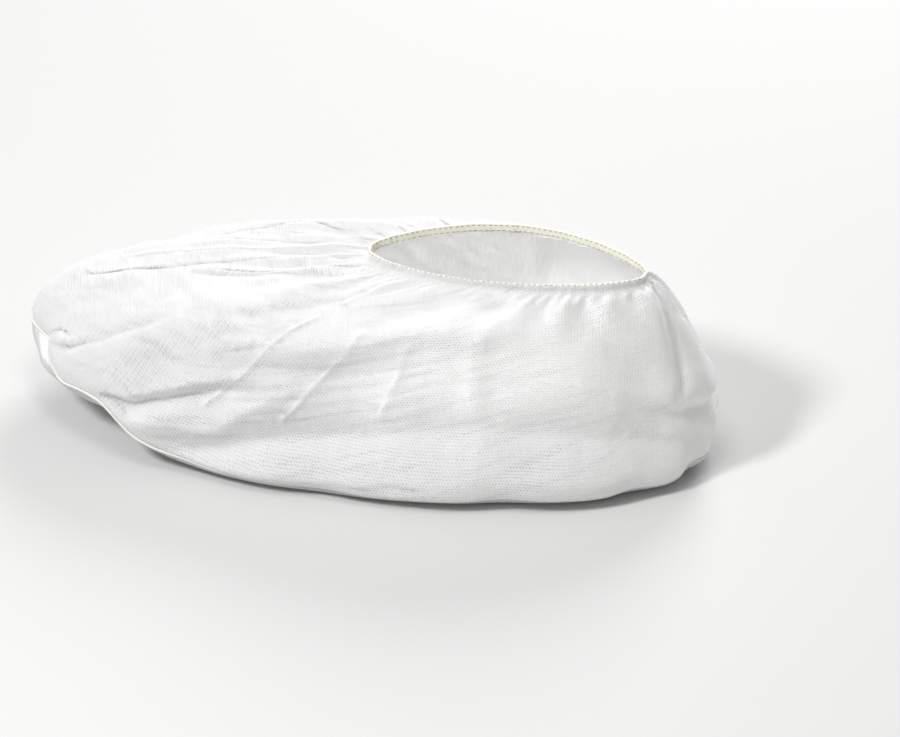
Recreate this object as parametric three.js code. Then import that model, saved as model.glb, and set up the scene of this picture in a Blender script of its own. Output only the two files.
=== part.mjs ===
// Cleanroom shoe cover: a white non-woven upper sewn to a vinyl-coated cloth sole, with an elastic mouth.
// Units are millimetres. The cover stands on its sole at z = 0, +Z is up, the toe points to -X, the heel
// to +X, and the side called near is -Y. Angles round the cover are in degrees: 0 at the toe, 90 at the
// near side, 180 at the heel, 270 at the far side. "Up" along the upper runs from 0 at the sewn edge to
// 1 at the mouth's rim.
import * as THREE from 'three';

// ---------------------------------------------------------------- driving dimensions
const SOLE_HALF_LENGTH = 199;
const SOLE_HALF_WIDTH = 86;
const SOLE_SQUARENESS = 2.1; // exponent of the sole's superellipse: 2 is an ellipse
const SOLE_TOE_WIDENING = 0.04; // share by which the toe half is wider than the middle
const MOUTH_CENTRE_X = 77.5;
const MOUTH_CENTRE_Y = 2.4;
const MOUTH_HALF_LENGTH = 80.4;
const MOUTH_HALF_WIDTH = 31.2;
const MOUTH_TIP_FULLNESS = 0.75; // below 1 draws the mouth's two ends in, 1 is an ellipse
const MOUTH_HEIGHT = 118;
const MOUTH_CROWN = 6.8; // how far the rim rises above its front tip
const MOUTH_CROWN_TURN = 0.8 * Math.PI; // part of a half wave that the rim's rise follows
const HEM_HEIGHT = 6.4; // the hem stands straight up round the mouth
const HEM_START = 0.96; // where it begins, as up
const UPPER_THICKNESS = 1.5;
const SOLE_THICKNESS = 1.8;
const SEAM_RADIUS = 1.3;
const SEAM_STAND_OUT = 0.4; // how far the bead's middle lies outside the two cloths' faces
const SEAM_CLEARANCE = 1.9; // each cloth ends this far from the bead's line
const ELASTIC_WIDTH = 6;
const ELASTIC_THICKNESS = 1.2;
const ELASTIC_LAP_ANGLE = 9; // half of the stretch where the band's two ends lie on each other, degrees
const GAP = 0.3; // free space between two pieces
const GATHER_COUNT = 20;
const GATHER_DEPTH = 2.2;

// ---------------------------------------------------------------- mesh resolution
const AROUND = 96;
const TOE_CROWDING = 0.25; // how much closer the points lie round the toe than round the sides
const UPPER_ROWS = 18;
const PEAK_WIDTH = 0.035; // reach in up of each place that draws the upper's rows together
const PEAK_AT_SEAM = 1;
const PEAK_AT_TUCK = 1.6;
const HALVINGS = 24; // steps in which a row's place is found
const SOLE_ROWS = 6;
const SEAM_SIDES = 6;

// ---------------------------------------------------------------- sections round the cover
/** Rows of numbers as objects with the columns' names. */
const table = (columns, rows) =>
  rows.map((row) => Object.fromEntries(row.map((value, i) => [columns[i], value])));

// seam: height of the sewn edge. under: how far it lies in under the upper. low/high: handles of the
// upper's curve, outward and upward from the edge, and outward and downward from the hem. flat, turn,
// wall: where, as shares of the outline, the sole leaves the ground, turns up and stands. wallUp: height
// of the wall handle as a share of the seam.
const SECTIONS = table(
  ['at', 'seam', 'under', 'lowOut', 'lowUp', 'highOut', 'highDown', 'flat', 'turn', 'wall', 'wallUp'],
  [
    [0, 50, 0, 5, 42, 72, 20, 0.44, 0.76, 1.01, 0.5],
    [15, 43, 0, 5, 46, 70, 21, 0.42, 0.72, 1.1, 0.74],
    [30, 36, 0, 7, 51, 64, 18, 0.36, 0.63, 0.99, 0.6],
    [44, 36, 0, 8, 50, 56, 16, 0.37, 0.62, 0.93, 0.5],
    [53, 19, 1, 10, 55, 48, 10, 0.46, 0.7, 0.94, 0.3],
    [63, 11, 4, 11, 58, 42, 8, 0.56, 0.76, 0.95, 0.12],
    [76, 6.5, 5, 11, 60, 36, 8, 0.62, 0.79, 0.95, 0.1],
    [90, 5, 5, 11, 60, 30, 6, 0.64, 0.81, 0.95, 0.1],
    [120, 6, 5, 11, 58, 22, 6, 0.64, 0.81, 0.95, 0.1],
    [150, 6, 4.5, 10, 56, 16, 8, 0.62, 0.81, 0.96, 0.1],
    [180, 12, 2, 9, 48, 14, 6, 0.62, 0.83, 0.99, 0.1],
    [210, 6, 4, 10, 56, 16, 2, 0.62, 0.81, 0.97, 0.1],
    [240, 5, 4, 10, 60, 20, -4, 0.64, 0.81, 0.96, 0.1],
    [270, 5.5, 4, 8, 63, 26, -9, 0.64, 0.81, 0.96, 0.1],
    [297, 10, 2.5, 8, 66, 46, -8, 0.6, 0.79, 0.97, 0.12],
    [315, 20, 1, 8, 64, 58, -4, 0.5, 0.76, 0.97, 0.2],
    [332, 35, 0, 7, 54, 66, 5, 0.46, 0.74, 0.98, 0.34],
    [346, 46, 0, 5, 45.5, 72, 14, 0.45, 0.76, 0.99, 0.34],
  ],
);

// How the hem leans: 90 degrees stands upright, less leans in over the mouth, more leans out.
const HEM_LEAN = table(
  ['at', 'lean'],
  [
    [0, 112], [14, 96], [30, 66], [50, 44], [90, 38], [130, 42],
    [160, 60], [180, 84], [210, 88], [270, 86], [320, 90], [345, 102], [360, 112],
  ],
);

// Places where the gathered upper pulls the sewn edge in and up. spread is the half-width in degrees.
const EDGE_DENTS = [
  { at: 13, spread: 6.5, inward: 10, lift: 1 },
  { at: 24, spread: 6, inward: 4, lift: 0 },
  { at: 36, spread: 5, inward: 1.5, lift: 0 },
  { at: 62, spread: 5, inward: 1.5, lift: 0 },
  { at: 86, spread: 6, inward: 2.5, lift: 1 },
  { at: 118, spread: 6, inward: 3, lift: 1.5 },
  { at: 146, spread: 6, inward: 3, lift: 2 },
  { at: 166, spread: 5, inward: 3.5, lift: 2 },
  { at: 184, spread: 5, inward: 4, lift: 3 },
  { at: 206, spread: 7, inward: 3.5, lift: 2 },
  { at: 232, spread: 7, inward: 3, lift: 2 },
  { at: 262, spread: 8, inward: 2.5, lift: 1 },
  { at: 290, spread: 6, inward: 3, lift: 1 },
  { at: 318, spread: 5, inward: 3.5, lift: 1 },
  { at: 340, spread: 4, inward: 2.5, lift: 1 },
];

// Bands of cloth folded over round the upper. A band's height above the plain surface is a broken line
// through its places, given as up: 0 at both ends, and between them the heights in millimetres. corner is
// how far the line's corners are rounded, in up. size fades the band in and out round the cover.
const PLACES = ['foot', 'low', 'tuck', 'lip', 'high'];
const BAND_COLUMNS = ['at', ...PLACES, 'size'];
const BANDS = [
  {
    name: 'toe lip, where the vamp hangs over the cloth below it',
    heights: [0, 1.5, -6.5, 3.5],
    corner: 0.012,
    rows: table(BAND_COLUMNS, [
      [36, 0.002, 0.005, 0.01, 0.02, 0.12, 0],
      [44, 0.005, 0.01, 0.02, 0.037, 0.17, 0.5],
      [50, 0.01, 0.03, 0.08, 0.128, 0.31, 1],
      [54.5, 0.03, 0.09, 0.16, 0.218, 0.38, 1],
      [59.8, 0.05, 0.12, 0.23, 0.293, 0.45, 0.95],
      [64.5, 0.06, 0.13, 0.28, 0.345, 0.5, 0.75],
      [69.2, 0.07, 0.15, 0.3, 0.362, 0.52, 0.45],
      [80, 0.1, 0.2, 0.31, 0.37, 0.54, 0],
    ]),
  },
  {
    name: 'near skirt, rolled out over the sewn edge and tucked in above',
    heights: [5, 4, -10, -8.5],
    corner: 0.012,
    rows: table(BAND_COLUMNS, [
      [52, 0.01, 0.015, 0.03, 0.05, 0.2, 0],
      [58, 0.012, 0.018, 0.035, 0.06, 0.14, 0.25],
      [63.8, 0.015, 0.02, 0.038, 0.06, 0.12, 0.55],
      [68.8, 0.02, 0.026, 0.072, 0.1, 0.18, 0.7],
      [72, 0.022, 0.034, 0.104, 0.136, 0.26, 0.8],
      [77, 0.024, 0.048, 0.138, 0.172, 0.36, 0.88],
      [82.5, 0.024, 0.056, 0.165, 0.202, 0.4, 0.95],
      [90, 0.024, 0.064, 0.199, 0.238, 0.44, 1],
      [101, 0.024, 0.08, 0.243, 0.287, 0.46, 1],
      [112, 0.024, 0.09, 0.26, 0.31, 0.5, 0.9],
      [130, 0.024, 0.09, 0.23, 0.28, 0.46, 0.8],
      [150, 0.024, 0.07, 0.17, 0.22, 0.4, 0.6],
      [168, 0.02, 0.05, 0.12, 0.17, 0.32, 0.3],
      [180, 0.02, 0.04, 0.1, 0.15, 0.3, 0],
    ]),
  },
  {
    name: 'near side, sloping up to the mouth above its crest and hanging straight down below it',
    heights: [0, -2, -5, 8],
    corner: 0.022,
    rows: table(BAND_COLUMNS, [
      [50, 0.26, 0.32, 0.36, 0.42, 0.6, 0],
      [58, 0.28, 0.34, 0.39, 0.46, 0.64, 0.45],
      [73, 0.28, 0.36, 0.42, 0.52, 0.71, 0.75],
      [80, 0.3, 0.38, 0.45, 0.56, 0.75, 0.85],
      [86, 0.32, 0.41, 0.48, 0.59, 0.77, 1],
      [93, 0.34, 0.44, 0.51, 0.63, 0.8, 1],
      [105, 0.34, 0.44, 0.51, 0.64, 0.81, 0.9],
      [125, 0.32, 0.41, 0.48, 0.61, 0.8, 0.3],
      [140, 0.32, 0.41, 0.48, 0.6, 0.8, 0],
    ]),
  },
  {
    name: 'far skirt',
    heights: [3, 4, -6, -2.5],
    corner: 0.012,
    rows: table(BAND_COLUMNS, [
      [200, 0.02, 0.05, 0.12, 0.16, 0.32, 0],
      [212, 0.022, 0.06, 0.15, 0.2, 0.36, 0.5],
      [228, 0.024, 0.08, 0.2, 0.25, 0.42, 0.9],
      [245, 0.024, 0.09, 0.24, 0.3, 0.48, 0.8],
      [262, 0.024, 0.07, 0.21, 0.26, 0.44, 1],
      [280, 0.024, 0.05, 0.15, 0.2, 0.36, 1],
      [292, 0.02, 0.04, 0.09, 0.13, 0.28, 0.5],
      [303, 0.01, 0.02, 0.05, 0.09, 0.22, 0],
    ]),
  },
  {
    name: 'fold over the heel',
    heights: [0, 1.5, -4, 3],
    corner: 0.012,
    rows: table(BAND_COLUMNS, [
      [140, 0.12, 0.24, 0.34, 0.39, 0.52, 0],
      [156, 0.1, 0.2, 0.28, 0.33, 0.48, 0.7],
      [172, 0.08, 0.16, 0.23, 0.28, 0.44, 1],
      [186, 0.08, 0.15, 0.21, 0.25, 0.42, 0.9],
      [200, 0.1, 0.19, 0.25, 0.29, 0.46, 0.5],
      [214, 0.12, 0.24, 0.31, 0.36, 0.5, 0],
    ]),
  },
];

// Folds that run up the upper, from one height to another; at gives their angle at start, middle, end.
const FOLDS_RISING = [
  { name: 'toe pucker', from: -0.1, to: 0.14, at: [13, 14, 18], width: 5, ledge: 0, depth: -3 },
  { name: 'toe crease', from: 0.1, to: 0.5, at: [26, 35, 34.5], width: 7, ledge: 0, depth: -2 },
  { name: 'vamp crest', from: 0.28, to: 0.97, at: [-3, 0, 6], width: 7, ledge: 5, depth: -1 },
  { name: 'vamp valley', from: 0.5, to: 0.97, at: [2, 10, 30], width: 7, ledge: 5, depth: -1 },
  { name: 'vamp pleat', from: 0.56, to: 0.98, at: [5, 14, 34], width: 9, ledge: 4, depth: -1.2 },
  { name: 'rim valley', from: 0.5, to: 0.98, at: [45, 54, 61], width: 9, ledge: 0, depth: -2 },
  { name: 'far vamp pleat', from: 0.34, to: 0.97, at: [-11, -16, -24], width: 9, ledge: 4, depth: 1.4 },
  { name: 'far vamp valley', from: 0.26, to: 0.97, at: [-26, -31, -38], width: 10, ledge: 0, depth: -2 },
  { name: 'far vamp crest', from: 0.38, to: 0.97, at: [-36, -46, -54], width: 8, ledge: 0, depth: 1.6 },
  { name: 'side crease 1', from: 0.2, to: 0.6, at: [63.5, 65, 62], width: 5, ledge: 0, depth: 1.2 },
  { name: 'side crease 2', from: 0.2, to: 0.63, at: [77.8, 80, 78], width: 5, ledge: 0, depth: 1.2 },
  { name: 'side crease 3', from: 0.26, to: 0.62, at: [94, 92.5, 90], width: 5, ledge: 0, depth: 1.2 },
  { name: 'side crease 4', from: 0.25, to: 0.85, at: [113, 106, 103], width: 5, ledge: 0, depth: 1.8 },
  { name: 'heel valley 1', from: 0.28, to: 0.97, at: [158, 168, 164], width: 8, ledge: 0, depth: -2.6 },
  { name: 'heel valley 2', from: 0.16, to: 0.97, at: [197, 190, 194], width: 9, ledge: 0, depth: -2.6 },
  { name: 'far crease 1', from: 0.28, to: 0.85, at: [246, 250, 252], width: 5, ledge: 0, depth: 2 },
  { name: 'far crease 2', from: 0.28, to: 0.85, at: [277, 272, 274], width: 5, ledge: 0, depth: 2 },
  { name: 'far toe valley', from: -0.05, to: 0.46, at: [322, 327, 318], width: 8, ledge: 0, depth: -3.5 },
];

// Broad hollows and swells of the upper: where, how far they spread in degrees and in up, how deep.
const HOLLOWS = [
  { at: 27, up: 0.165, spread: 4, rise: 0.05, depth: 2.4 },
  { at: 150, up: 0.42, spread: 26, rise: 0.18, depth: -3 },
  { at: 262, up: 0.46, spread: 34, rise: 0.16, depth: -2 },
];

const DEGREE_AT_SEAM = 3; // millimetres of cloth in one degree at the seam
const DEGREE_AT_RIM = 1.15; // and at the rim

// ---------------------------------------------------------------- small maths
const degrees = (angle) => THREE.MathUtils.radToDeg(angle);
const signedPower = (value, power) => Math.sign(value) * Math.abs(value) ** power;
const turnOf = (difference) => THREE.MathUtils.euclideanModulo(difference + 180, 360) - 180;
const smooth = (from, to, value) => {
  const s = THREE.MathUtils.clamp((value - from) / (to - from), 0, 1);
  return s * s * (3 - 2 * s);
};
const bell = (distance, width) => Math.exp(-((distance / width) ** 2));
const throughThree = (s, [start, middle, end]) =>
  start * (1 - s) * (1 - 2 * s) + 4 * middle * s * (1 - s) + end * s * (2 * s - 1);
const cubic = (s, a, b, c, d) =>
  (1 - s) ** 3 * a + 3 * (1 - s) ** 2 * s * b + 3 * (1 - s) * s * s * c + s ** 3 * d;

/** 0 below nothing and the value itself above it, with a corner rounded over the given width. */
const softRamp = (value, corner) => {
  const x = value / corner;
  return corner * (Math.max(x, 0) + Math.log1p(Math.exp(-Math.abs(x))));
};

/** A column of a table at an angle in degrees, straight between rows and held beyond the first and last. */
function between(rows, column, at) {
  const next = rows.findIndex((row) => row.at > at);
  if (next < 0) {
    return rows[rows.length - 1][column];
  }
  if (next === 0) {
    return rows[0][column];
  }
  const [before, after] = [rows[next - 1], rows[next]];
  return THREE.MathUtils.lerp(before[column], after[column], (at - before.at) / (after.at - before.at));
}

/** One column of SECTIONS at an angle: a smooth closed curve through the table's rows. */
function section(column, angle) {
  const at = THREE.MathUtils.euclideanModulo(degrees(angle), 360);
  const count = SECTIONS.length;
  const row = (i) => {
    const turns = Math.floor(i / count);
    const entry = SECTIONS[i - turns * count];
    return [entry.at + 360 * turns, entry[column]];
  };
  const next = SECTIONS.findIndex((entry) => entry.at > at);
  const i = (next < 0 ? count : next) - 1;
  const [[beforeAt, before], [fromAt, from], [toAt, to], [afterAt, after]] = [-1, 0, 1, 2].map((k) =>
    row(i + k),
  );
  const step = toAt - fromAt;
  const s = (at - fromAt) / step;
  const slopeFrom = ((to - before) / (toAt - beforeAt)) * step;
  const slopeTo = ((after - from) / (afterAt - fromAt)) * step;
  return (
    (2 * s ** 3 - 3 * s ** 2 + 1) * from +
    (s ** 3 - 2 * s ** 2 + s) * slopeFrom +
    (3 * s ** 2 - 2 * s ** 3) * to +
    (s ** 3 - s ** 2) * slopeTo
  );
}

// ---------------------------------------------------------------- the three curves everything hangs on
/** The sole's undented outline seen from above. */
function outline(angle) {
  const power = 2 / SOLE_SQUARENESS;
  const x = -SOLE_HALF_LENGTH * signedPower(Math.cos(angle), power);
  const widening = 1 - (SOLE_TOE_WIDENING * x) / SOLE_HALF_LENGTH;
  const y = -SOLE_HALF_WIDTH * signedPower(Math.sin(angle), power) * widening;
  return new THREE.Vector3(x, y, section('seam', angle));
}

/** The sewn edge: the outline, drawn in under the upper and by its dents. */
function seam(angle) {
  const point = outline(angle);
  let inward = section('under', angle);
  let lift = 0;
  for (const dent of EDGE_DENTS) {
    const share = bell(turnOf(degrees(angle) - dent.at), dent.spread);
    inward += dent.inward * share;
    lift += dent.lift * share;
  }
  const keep = 1 - inward / Math.hypot(point.x, point.y);
  return new THREE.Vector3(point.x * keep, point.y * keep, point.z + lift);
}

/** The mouth's rim: a long oval with drawn-out ends, low at its front tip. */
function rim(angle) {
  const x = MOUTH_CENTRE_X - MOUTH_HALF_LENGTH * Math.cos(angle);
  const side = Math.sin(angle);
  const fullness = THREE.MathUtils.lerp(MOUTH_TIP_FULLNESS, 1, side * side);
  const y = MOUTH_CENTRE_Y - MOUTH_HALF_WIDTH * side * fullness;
  const along = (1 - Math.cos(angle)) / 2;
  return new THREE.Vector3(x, y, MOUTH_HEIGHT + MOUTH_CROWN * Math.sin(along * MOUTH_CROWN_TURN));
}

// ---------------------------------------------------------------- the upper's surface
/** The hem at an angle: its foot, the way from there up to the rim, and level outward. */
function hem(angle) {
  const top = rim(angle);
  const outward = outline(angle).sub(top).setZ(0).normalize();
  const at = THREE.MathUtils.euclideanModulo(degrees(angle), 360);
  const lean = THREE.MathUtils.degToRad(between(HEM_LEAN, 'lean', at));
  const way = new THREE.Vector3(0, 0, Math.sin(lean)).addScaledVector(outward, -Math.cos(lean));
  return { foot: top.addScaledVector(way, -HEM_HEIGHT), way, outward };
}

/** The four points that steer the upper's curve from the seam to the hem's foot at an angle. */
function upperHandles(angle) {
  const { foot, outward } = hem(angle);
  const low = outline(angle).addScaledVector(outward, section('lowOut', angle));
  low.z += section('lowUp', angle);
  const high = foot.clone().addScaledVector(outward, section('highOut', angle));
  high.z -= section('highDown', angle);
  return [seam(angle), low, high, foot];
}

/** The curve from the seam to the hem's foot, then the straight hem up to the rim. */
function unfoldedUpper(angle, up) {
  const [a, b, c, d] = upperHandles(angle);
  const share = Math.min(up / HEM_START, 1);
  const above = Math.max(up - HEM_START, 0) / (1 - HEM_START);
  return new THREE.Vector3(
    cubic(share, a.x, b.x, c.x, d.x),
    cubic(share, a.y, b.y, c.y, d.y),
    cubic(share, a.z, b.z, c.z, d.z),
  ).addScaledVector(hem(angle).way, HEM_HEIGHT * above);
}

/** Outward direction of a surface given as a function of angle and up, by small steps. */
function outwardAt(surface, angle, up) {
  const step = 1e-3;
  const low = Math.max(up - step, 0);
  const high = Math.min(up + step, 1);
  const along = surface(angle + step, up).sub(surface(angle - step, up));
  const rising = surface(angle, high).sub(surface(angle, low));
  return along.cross(rising).normalize();
}

const foldFade = (s) => smooth(0, 0.16, s) * (1 - smooth(0.62, 1, s));

function foldShape(distance, fold) {
  const body = bell(distance, fold.width);
  return fold.ledge > 0 ? 1.25 * Math.tanh(distance / fold.ledge) * body : body;
}

/** A band's places at an angle, and its size there. */
function bandAt(band, at) {
  const size = between(band.rows, 'size', at);
  return { places: PLACES.map((place) => between(band.rows, place, at)), size: size * size * (3 - 2 * size) };
}

/** A band's height at a place: the sum of a soft ramp at each corner of its broken line. */
function bandHeight(band, at, up) {
  const { places, size } = bandAt(band, at);
  const corners = [0, ...places];
  const levels = [0, ...band.heights, 0];
  const slopes = corners.map((corner, i) =>
    i + 1 < corners.length ? (levels[i + 1] - levels[i]) / (corners[i + 1] - corner) : 0,
  );
  const turns = slopes.map((slope, i) => slope - (i > 0 ? slopes[i - 1] : 0));
  return size * turns.reduce((sum, turn, i) => sum + turn * softRamp(up - corners[i], band.corner), 0);
}

/** How far all folds and hollows move the cloth outward at a place. */
function foldHeight(angle, up) {
  const at = THREE.MathUtils.euclideanModulo(degrees(angle), 360);
  const degreeWidth = THREE.MathUtils.lerp(DEGREE_AT_SEAM, DEGREE_AT_RIM, up);
  let height = 0;
  for (const band of BANDS) {
    height += bandHeight(band, at, up);
  }
  for (const fold of FOLDS_RISING) {
    const s = THREE.MathUtils.clamp((up - fold.from) / (fold.to - fold.from), 0, 1);
    height += fold.depth * foldShape(turnOf(at - throughThree(s, fold.at)) * degreeWidth, fold) * foldFade(s);
  }
  for (const hollow of HOLLOWS) {
    height += hollow.depth * bell(turnOf(at - hollow.at), hollow.spread) * bell(up - hollow.up, hollow.rise);
  }
  return height * smooth(0.005, 0.024, up);
}

/** The elastic's gathers: uneven waves round the mouth, weak on the near side and at the band itself. */
function gatherHeight(angle, up) {
  const calm = 1 - 0.7 * bell(turnOf(degrees(angle) - 75), 38);
  const reach = smooth(0.58, 0.86, up) * (1 - 0.9 * smooth(0.86, HEM_START, up));
  const wave = GATHER_COUNT * angle + 1.3 * Math.sin(3 * angle + 1) + 0.8 * Math.sin(5 * angle + 2);
  return GATHER_DEPTH * calm * reach * Math.cos(wave);
}

function upperSurface(angle, up) {
  const point = unfoldedUpper(angle, up);
  const height = foldHeight(angle, up) + gatherHeight(angle, up);
  return point.addScaledVector(outwardAt(unfoldedUpper, angle, up), height);
}

/** Share of up that covers a length of cloth at one end of the curve between two handles. */
const shareOf = (length, handle, end) => length / (3 * handle.distanceTo(end));

// ---------------------------------------------------------------- the sole's surface
/** The sole's underside: flat in the middle, then one curve out to the sewn edge. s runs over the curve. */
function soleSurface(angle, s) {
  const edge = outline(angle);
  const end = seam(angle);
  const [flat, turn, wall] = ['flat', 'turn', 'wall'].map((column) => section(column, angle));
  return new THREE.Vector3(
    cubic(s, flat * edge.x, turn * edge.x, wall * edge.x, end.x),
    cubic(s, flat * edge.y, turn * edge.y, wall * edge.y, end.y),
    cubic(s, 0, 0, section('wallUp', angle) * edge.z, end.z),
  );
}

// ---------------------------------------------------------------- meshes
const ANGLES = Array.from({ length: AROUND }, (_, i) => {
  const even = (2 * Math.PI * i) / AROUND;
  return even - TOE_CROWDING * Math.sin(even);
});

/**
 * Triangles between closed loops of points; with closed the last loop joins the first again. From the
 * loop numbered back on, the loops run back down an inner face, and its quads are split like the outer's.
 */
function skin(loops, closed, back = loops.length) {
  const count = loops[0].length;
  const bands = closed ? loops.length : loops.length - 1;
  const faces = [];
  for (let j = 0; j < bands; j += 1) {
    const near = j * count;
    const far = ((j + 1) % loops.length) * count;
    for (let i = 0; i < count; i += 1) {
      const next = (i + 1) % count;
      const [a, b, c, d] = [near + i, near + next, far + next, far + i];
      faces.push(...(j < back ? [a, b, c, a, c, d] : [a, b, d, b, c, d]));
    }
  }
  return faces;
}

/** A fan that closes a loop onto one point. */
function fan(centre, first, count, flip, faces) {
  for (let i = 0; i < count; i += 1) {
    const a = first + i;
    const b = first + ((i + 1) % count);
    faces.push(centre, flip ? b : a, flip ? a : b);
  }
}

/** Unit normals of a grid of loops, from each point's neighbours. */
function gridNormals(loops) {
  const last = loops.length - 1;
  return loops.map((loop, j) =>
    loop.map((_, i) => {
      const count = loop.length;
      const along = loop[(i + 1) % count].clone().sub(loop[(i + count - 1) % count]);
      const across = loops[Math.min(j + 1, last)][i].clone().sub(loops[Math.max(j - 1, 0)][i]);
      return along.cross(across).normalize();
    }),
  );
}

const shifted = (loops, normals, distance) =>
  loops.map((loop, j) => loop.map((point, i) => point.clone().addScaledVector(normals[j][i], distance)));

function meshOf(name, points, faces, look) {
  const geometry = new THREE.BufferGeometry().setFromPoints(points);
  geometry.setIndex(faces);
  geometry.computeVertexNormals();
  const mesh = new THREE.Mesh(geometry, new THREE.MeshStandardMaterial(look));
  mesh.name = name;
  return mesh;
}

/**
 * Heights of the upper's rows at an angle, the last band as wide as the elastic. The rows are even in a
 * count that grows faster at the seam and at each band's tuck, and each row is found by halving.
 */
function upperRows(angle) {
  const [edge, low] = upperHandles(angle);
  const start = shareOf(SEAM_CLEARANCE, low, edge);
  const end = 1 - ((1 - HEM_START) * ELASTIC_WIDTH) / HEM_HEIGHT;
  const peaks = [{ at: 0, share: PEAK_AT_SEAM }];
  for (const band of BANDS) {
    const { places, size } = bandAt(band, THREE.MathUtils.euclideanModulo(degrees(angle), 360));
    peaks.push({ at: places[PLACES.indexOf('tuck')], share: PEAK_AT_TUCK * size });
  }
  const counted = (up) =>
    peaks.reduce((sum, peak) => sum + peak.share * PEAK_WIDTH * Math.tanh((up - peak.at) / PEAK_WIDTH), up);
  const rows = [start];
  for (let j = 1; j < UPPER_ROWS - 1; j += 1) {
    const wanted = THREE.MathUtils.lerp(counted(start), counted(end), j / (UPPER_ROWS - 1));
    let [below, above] = [start, end];
    for (let k = 0; k < HALVINGS; k += 1) {
      const middle = (below + above) / 2;
      [below, above] = counted(middle) < wanted ? [middle, above] : [below, middle];
    }
    rows.push((below + above) / 2);
  }
  return [...rows, end, 1];
}

const ROWS_BY_ANGLE = ANGLES.map(upperRows);
const UPPER_OUTSIDE = ROWS_BY_ANGLE[0].map((_, j) =>
  ANGLES.map((angle, i) => upperSurface(angle, ROWS_BY_ANGLE[i][j])),
);
const UPPER_NORMALS = gridNormals(UPPER_OUTSIDE);

function makeUpper() {
  const inside = shifted(UPPER_OUTSIDE, UPPER_NORMALS, -UPPER_THICKNESS).reverse();
  const loops = [...UPPER_OUTSIDE, ...inside];
  const faces = skin(loops, true, inside.length);
  return meshOf('upper', loops.flat(), faces, { color: 0xeeeeeb, roughness: 0.75, metalness: 0 });
}

function makeSole() {
  const rows = Array.from({ length: SOLE_ROWS + 1 }, (_, j) => j / SOLE_ROWS);
  const underside = rows.map((row) =>
    ANGLES.map((angle) => {
      const wall = soleSurface(angle, 1).distanceTo(soleSurface(angle, 0.9)) / 0.1;
      return soleSurface(angle, row * (1 - SEAM_CLEARANCE / wall));
    }),
  );
  const normals = gridNormals(underside);
  normals[0].forEach((normal) => normal.set(0, 0, -1));
  const topside = shifted(underside, normals, -SOLE_THICKNESS).reverse();
  const loops = [...underside, ...topside];
  const points = [...loops.flat(), new THREE.Vector3(0, 0, 0), new THREE.Vector3(0, 0, SOLE_THICKNESS)];
  const faces = skin(loops, false, topside.length);
  const centre = loops.length * AROUND;
  fan(centre, 0, AROUND, true, faces);
  fan(centre + 1, (loops.length - 1) * AROUND, AROUND, false, faces);
  return meshOf('sole', points, faces, { color: 0xe2e6e7, roughness: 0.4, metalness: 0 });
}

/** The bead of the sewn edge: a many-sided ring carried along the seam's line. */
function makeEdgeSeam() {
  const loops = Array.from({ length: SEAM_SIDES }, (_, k) => {
    const turn = (2 * Math.PI * k) / SEAM_SIDES;
    return ANGLES.map((angle) => {
      const point = seam(angle);
      const outward = new THREE.Vector3(point.x, point.y, 0).normalize();
      point.addScaledVector(outward, SEAM_STAND_OUT + SEAM_RADIUS * Math.cos(turn));
      point.z += SEAM_RADIUS * Math.sin(turn);
      return point;
    });
  });
  const look = { color: 0xdddeda, roughness: 0.8, metalness: 0 };
  return meshOf('edge_seam', loops.flat(), skin(loops, true), look);
}

/** The elastic band, a gap inside the mouth's edge, twice as thick where its ends lap at the front tip. */
function makeMouthElastic() {
  const band = UPPER_OUTSIDE.slice(-2);
  const normals = UPPER_NORMALS.slice(-2);
  const face = UPPER_THICKNESS + GAP;
  const inner = band.map((loop, j) =>
    loop.map((point, i) => {
      const lapped = Math.abs(turnOf(degrees(ANGLES[i]))) <= ELASTIC_LAP_ANGLE;
      const depth = face + ELASTIC_THICKNESS * (lapped ? 2 : 1);
      return point.clone().addScaledVector(normals[j][i], -depth);
    }),
  );
  const loops = [...shifted(band, normals, -face), ...inner.reverse()];
  const faces = skin(loops, true, inner.length);
  return meshOf('mouth_elastic', loops.flat(), faces, { color: 0xd8dacc, roughness: 0.85, metalness: 0 });
}

const cover = new THREE.Group();
cover.name = 'cleanroom_shoe_cover';
cover.add(makeUpper(), makeSole(), makeEdgeSeam(), makeMouthElastic());

export default cover;
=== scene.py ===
"""A cleanroom shoe cover: white non-woven upper, vinyl-coated sole, sewn edge and elastic mouth.

The cover stands on its sole at z = 0 with its toe towards -X, its heel towards +X and its near side
towards -Y. Shapes are worked out in millimetres and put into Blender in metres. Angles round the cover
run from 0 at the toe over 90 at the near side, 180 at the heel and 270 at the far side. "up" runs over
the upper from 0 at the sewn edge to 1 at the mouth's rim.
"""
import math

import bpy
import numpy as np
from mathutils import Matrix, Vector


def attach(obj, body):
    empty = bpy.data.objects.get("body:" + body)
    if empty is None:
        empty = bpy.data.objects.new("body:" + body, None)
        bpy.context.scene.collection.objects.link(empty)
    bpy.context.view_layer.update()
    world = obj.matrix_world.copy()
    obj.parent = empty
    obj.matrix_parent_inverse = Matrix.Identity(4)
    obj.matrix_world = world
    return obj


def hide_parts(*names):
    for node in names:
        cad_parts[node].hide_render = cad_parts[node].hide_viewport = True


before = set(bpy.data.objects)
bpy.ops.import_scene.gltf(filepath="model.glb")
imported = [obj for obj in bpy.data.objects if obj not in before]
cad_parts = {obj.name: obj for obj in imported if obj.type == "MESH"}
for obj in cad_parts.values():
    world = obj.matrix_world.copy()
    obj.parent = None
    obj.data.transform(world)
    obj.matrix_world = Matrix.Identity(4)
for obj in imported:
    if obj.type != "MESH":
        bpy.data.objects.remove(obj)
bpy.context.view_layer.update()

# ---------------------------------------------------------------- sizes, in millimetres
METRE = 0.001
SOLE_HALF_LENGTH = 199.0
SOLE_HALF_WIDTH = 86.0
SOLE_SQUARENESS = 2.1
SOLE_TOE_WIDENING = 0.04
MOUTH_CENTRE_X = 77.5
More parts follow.
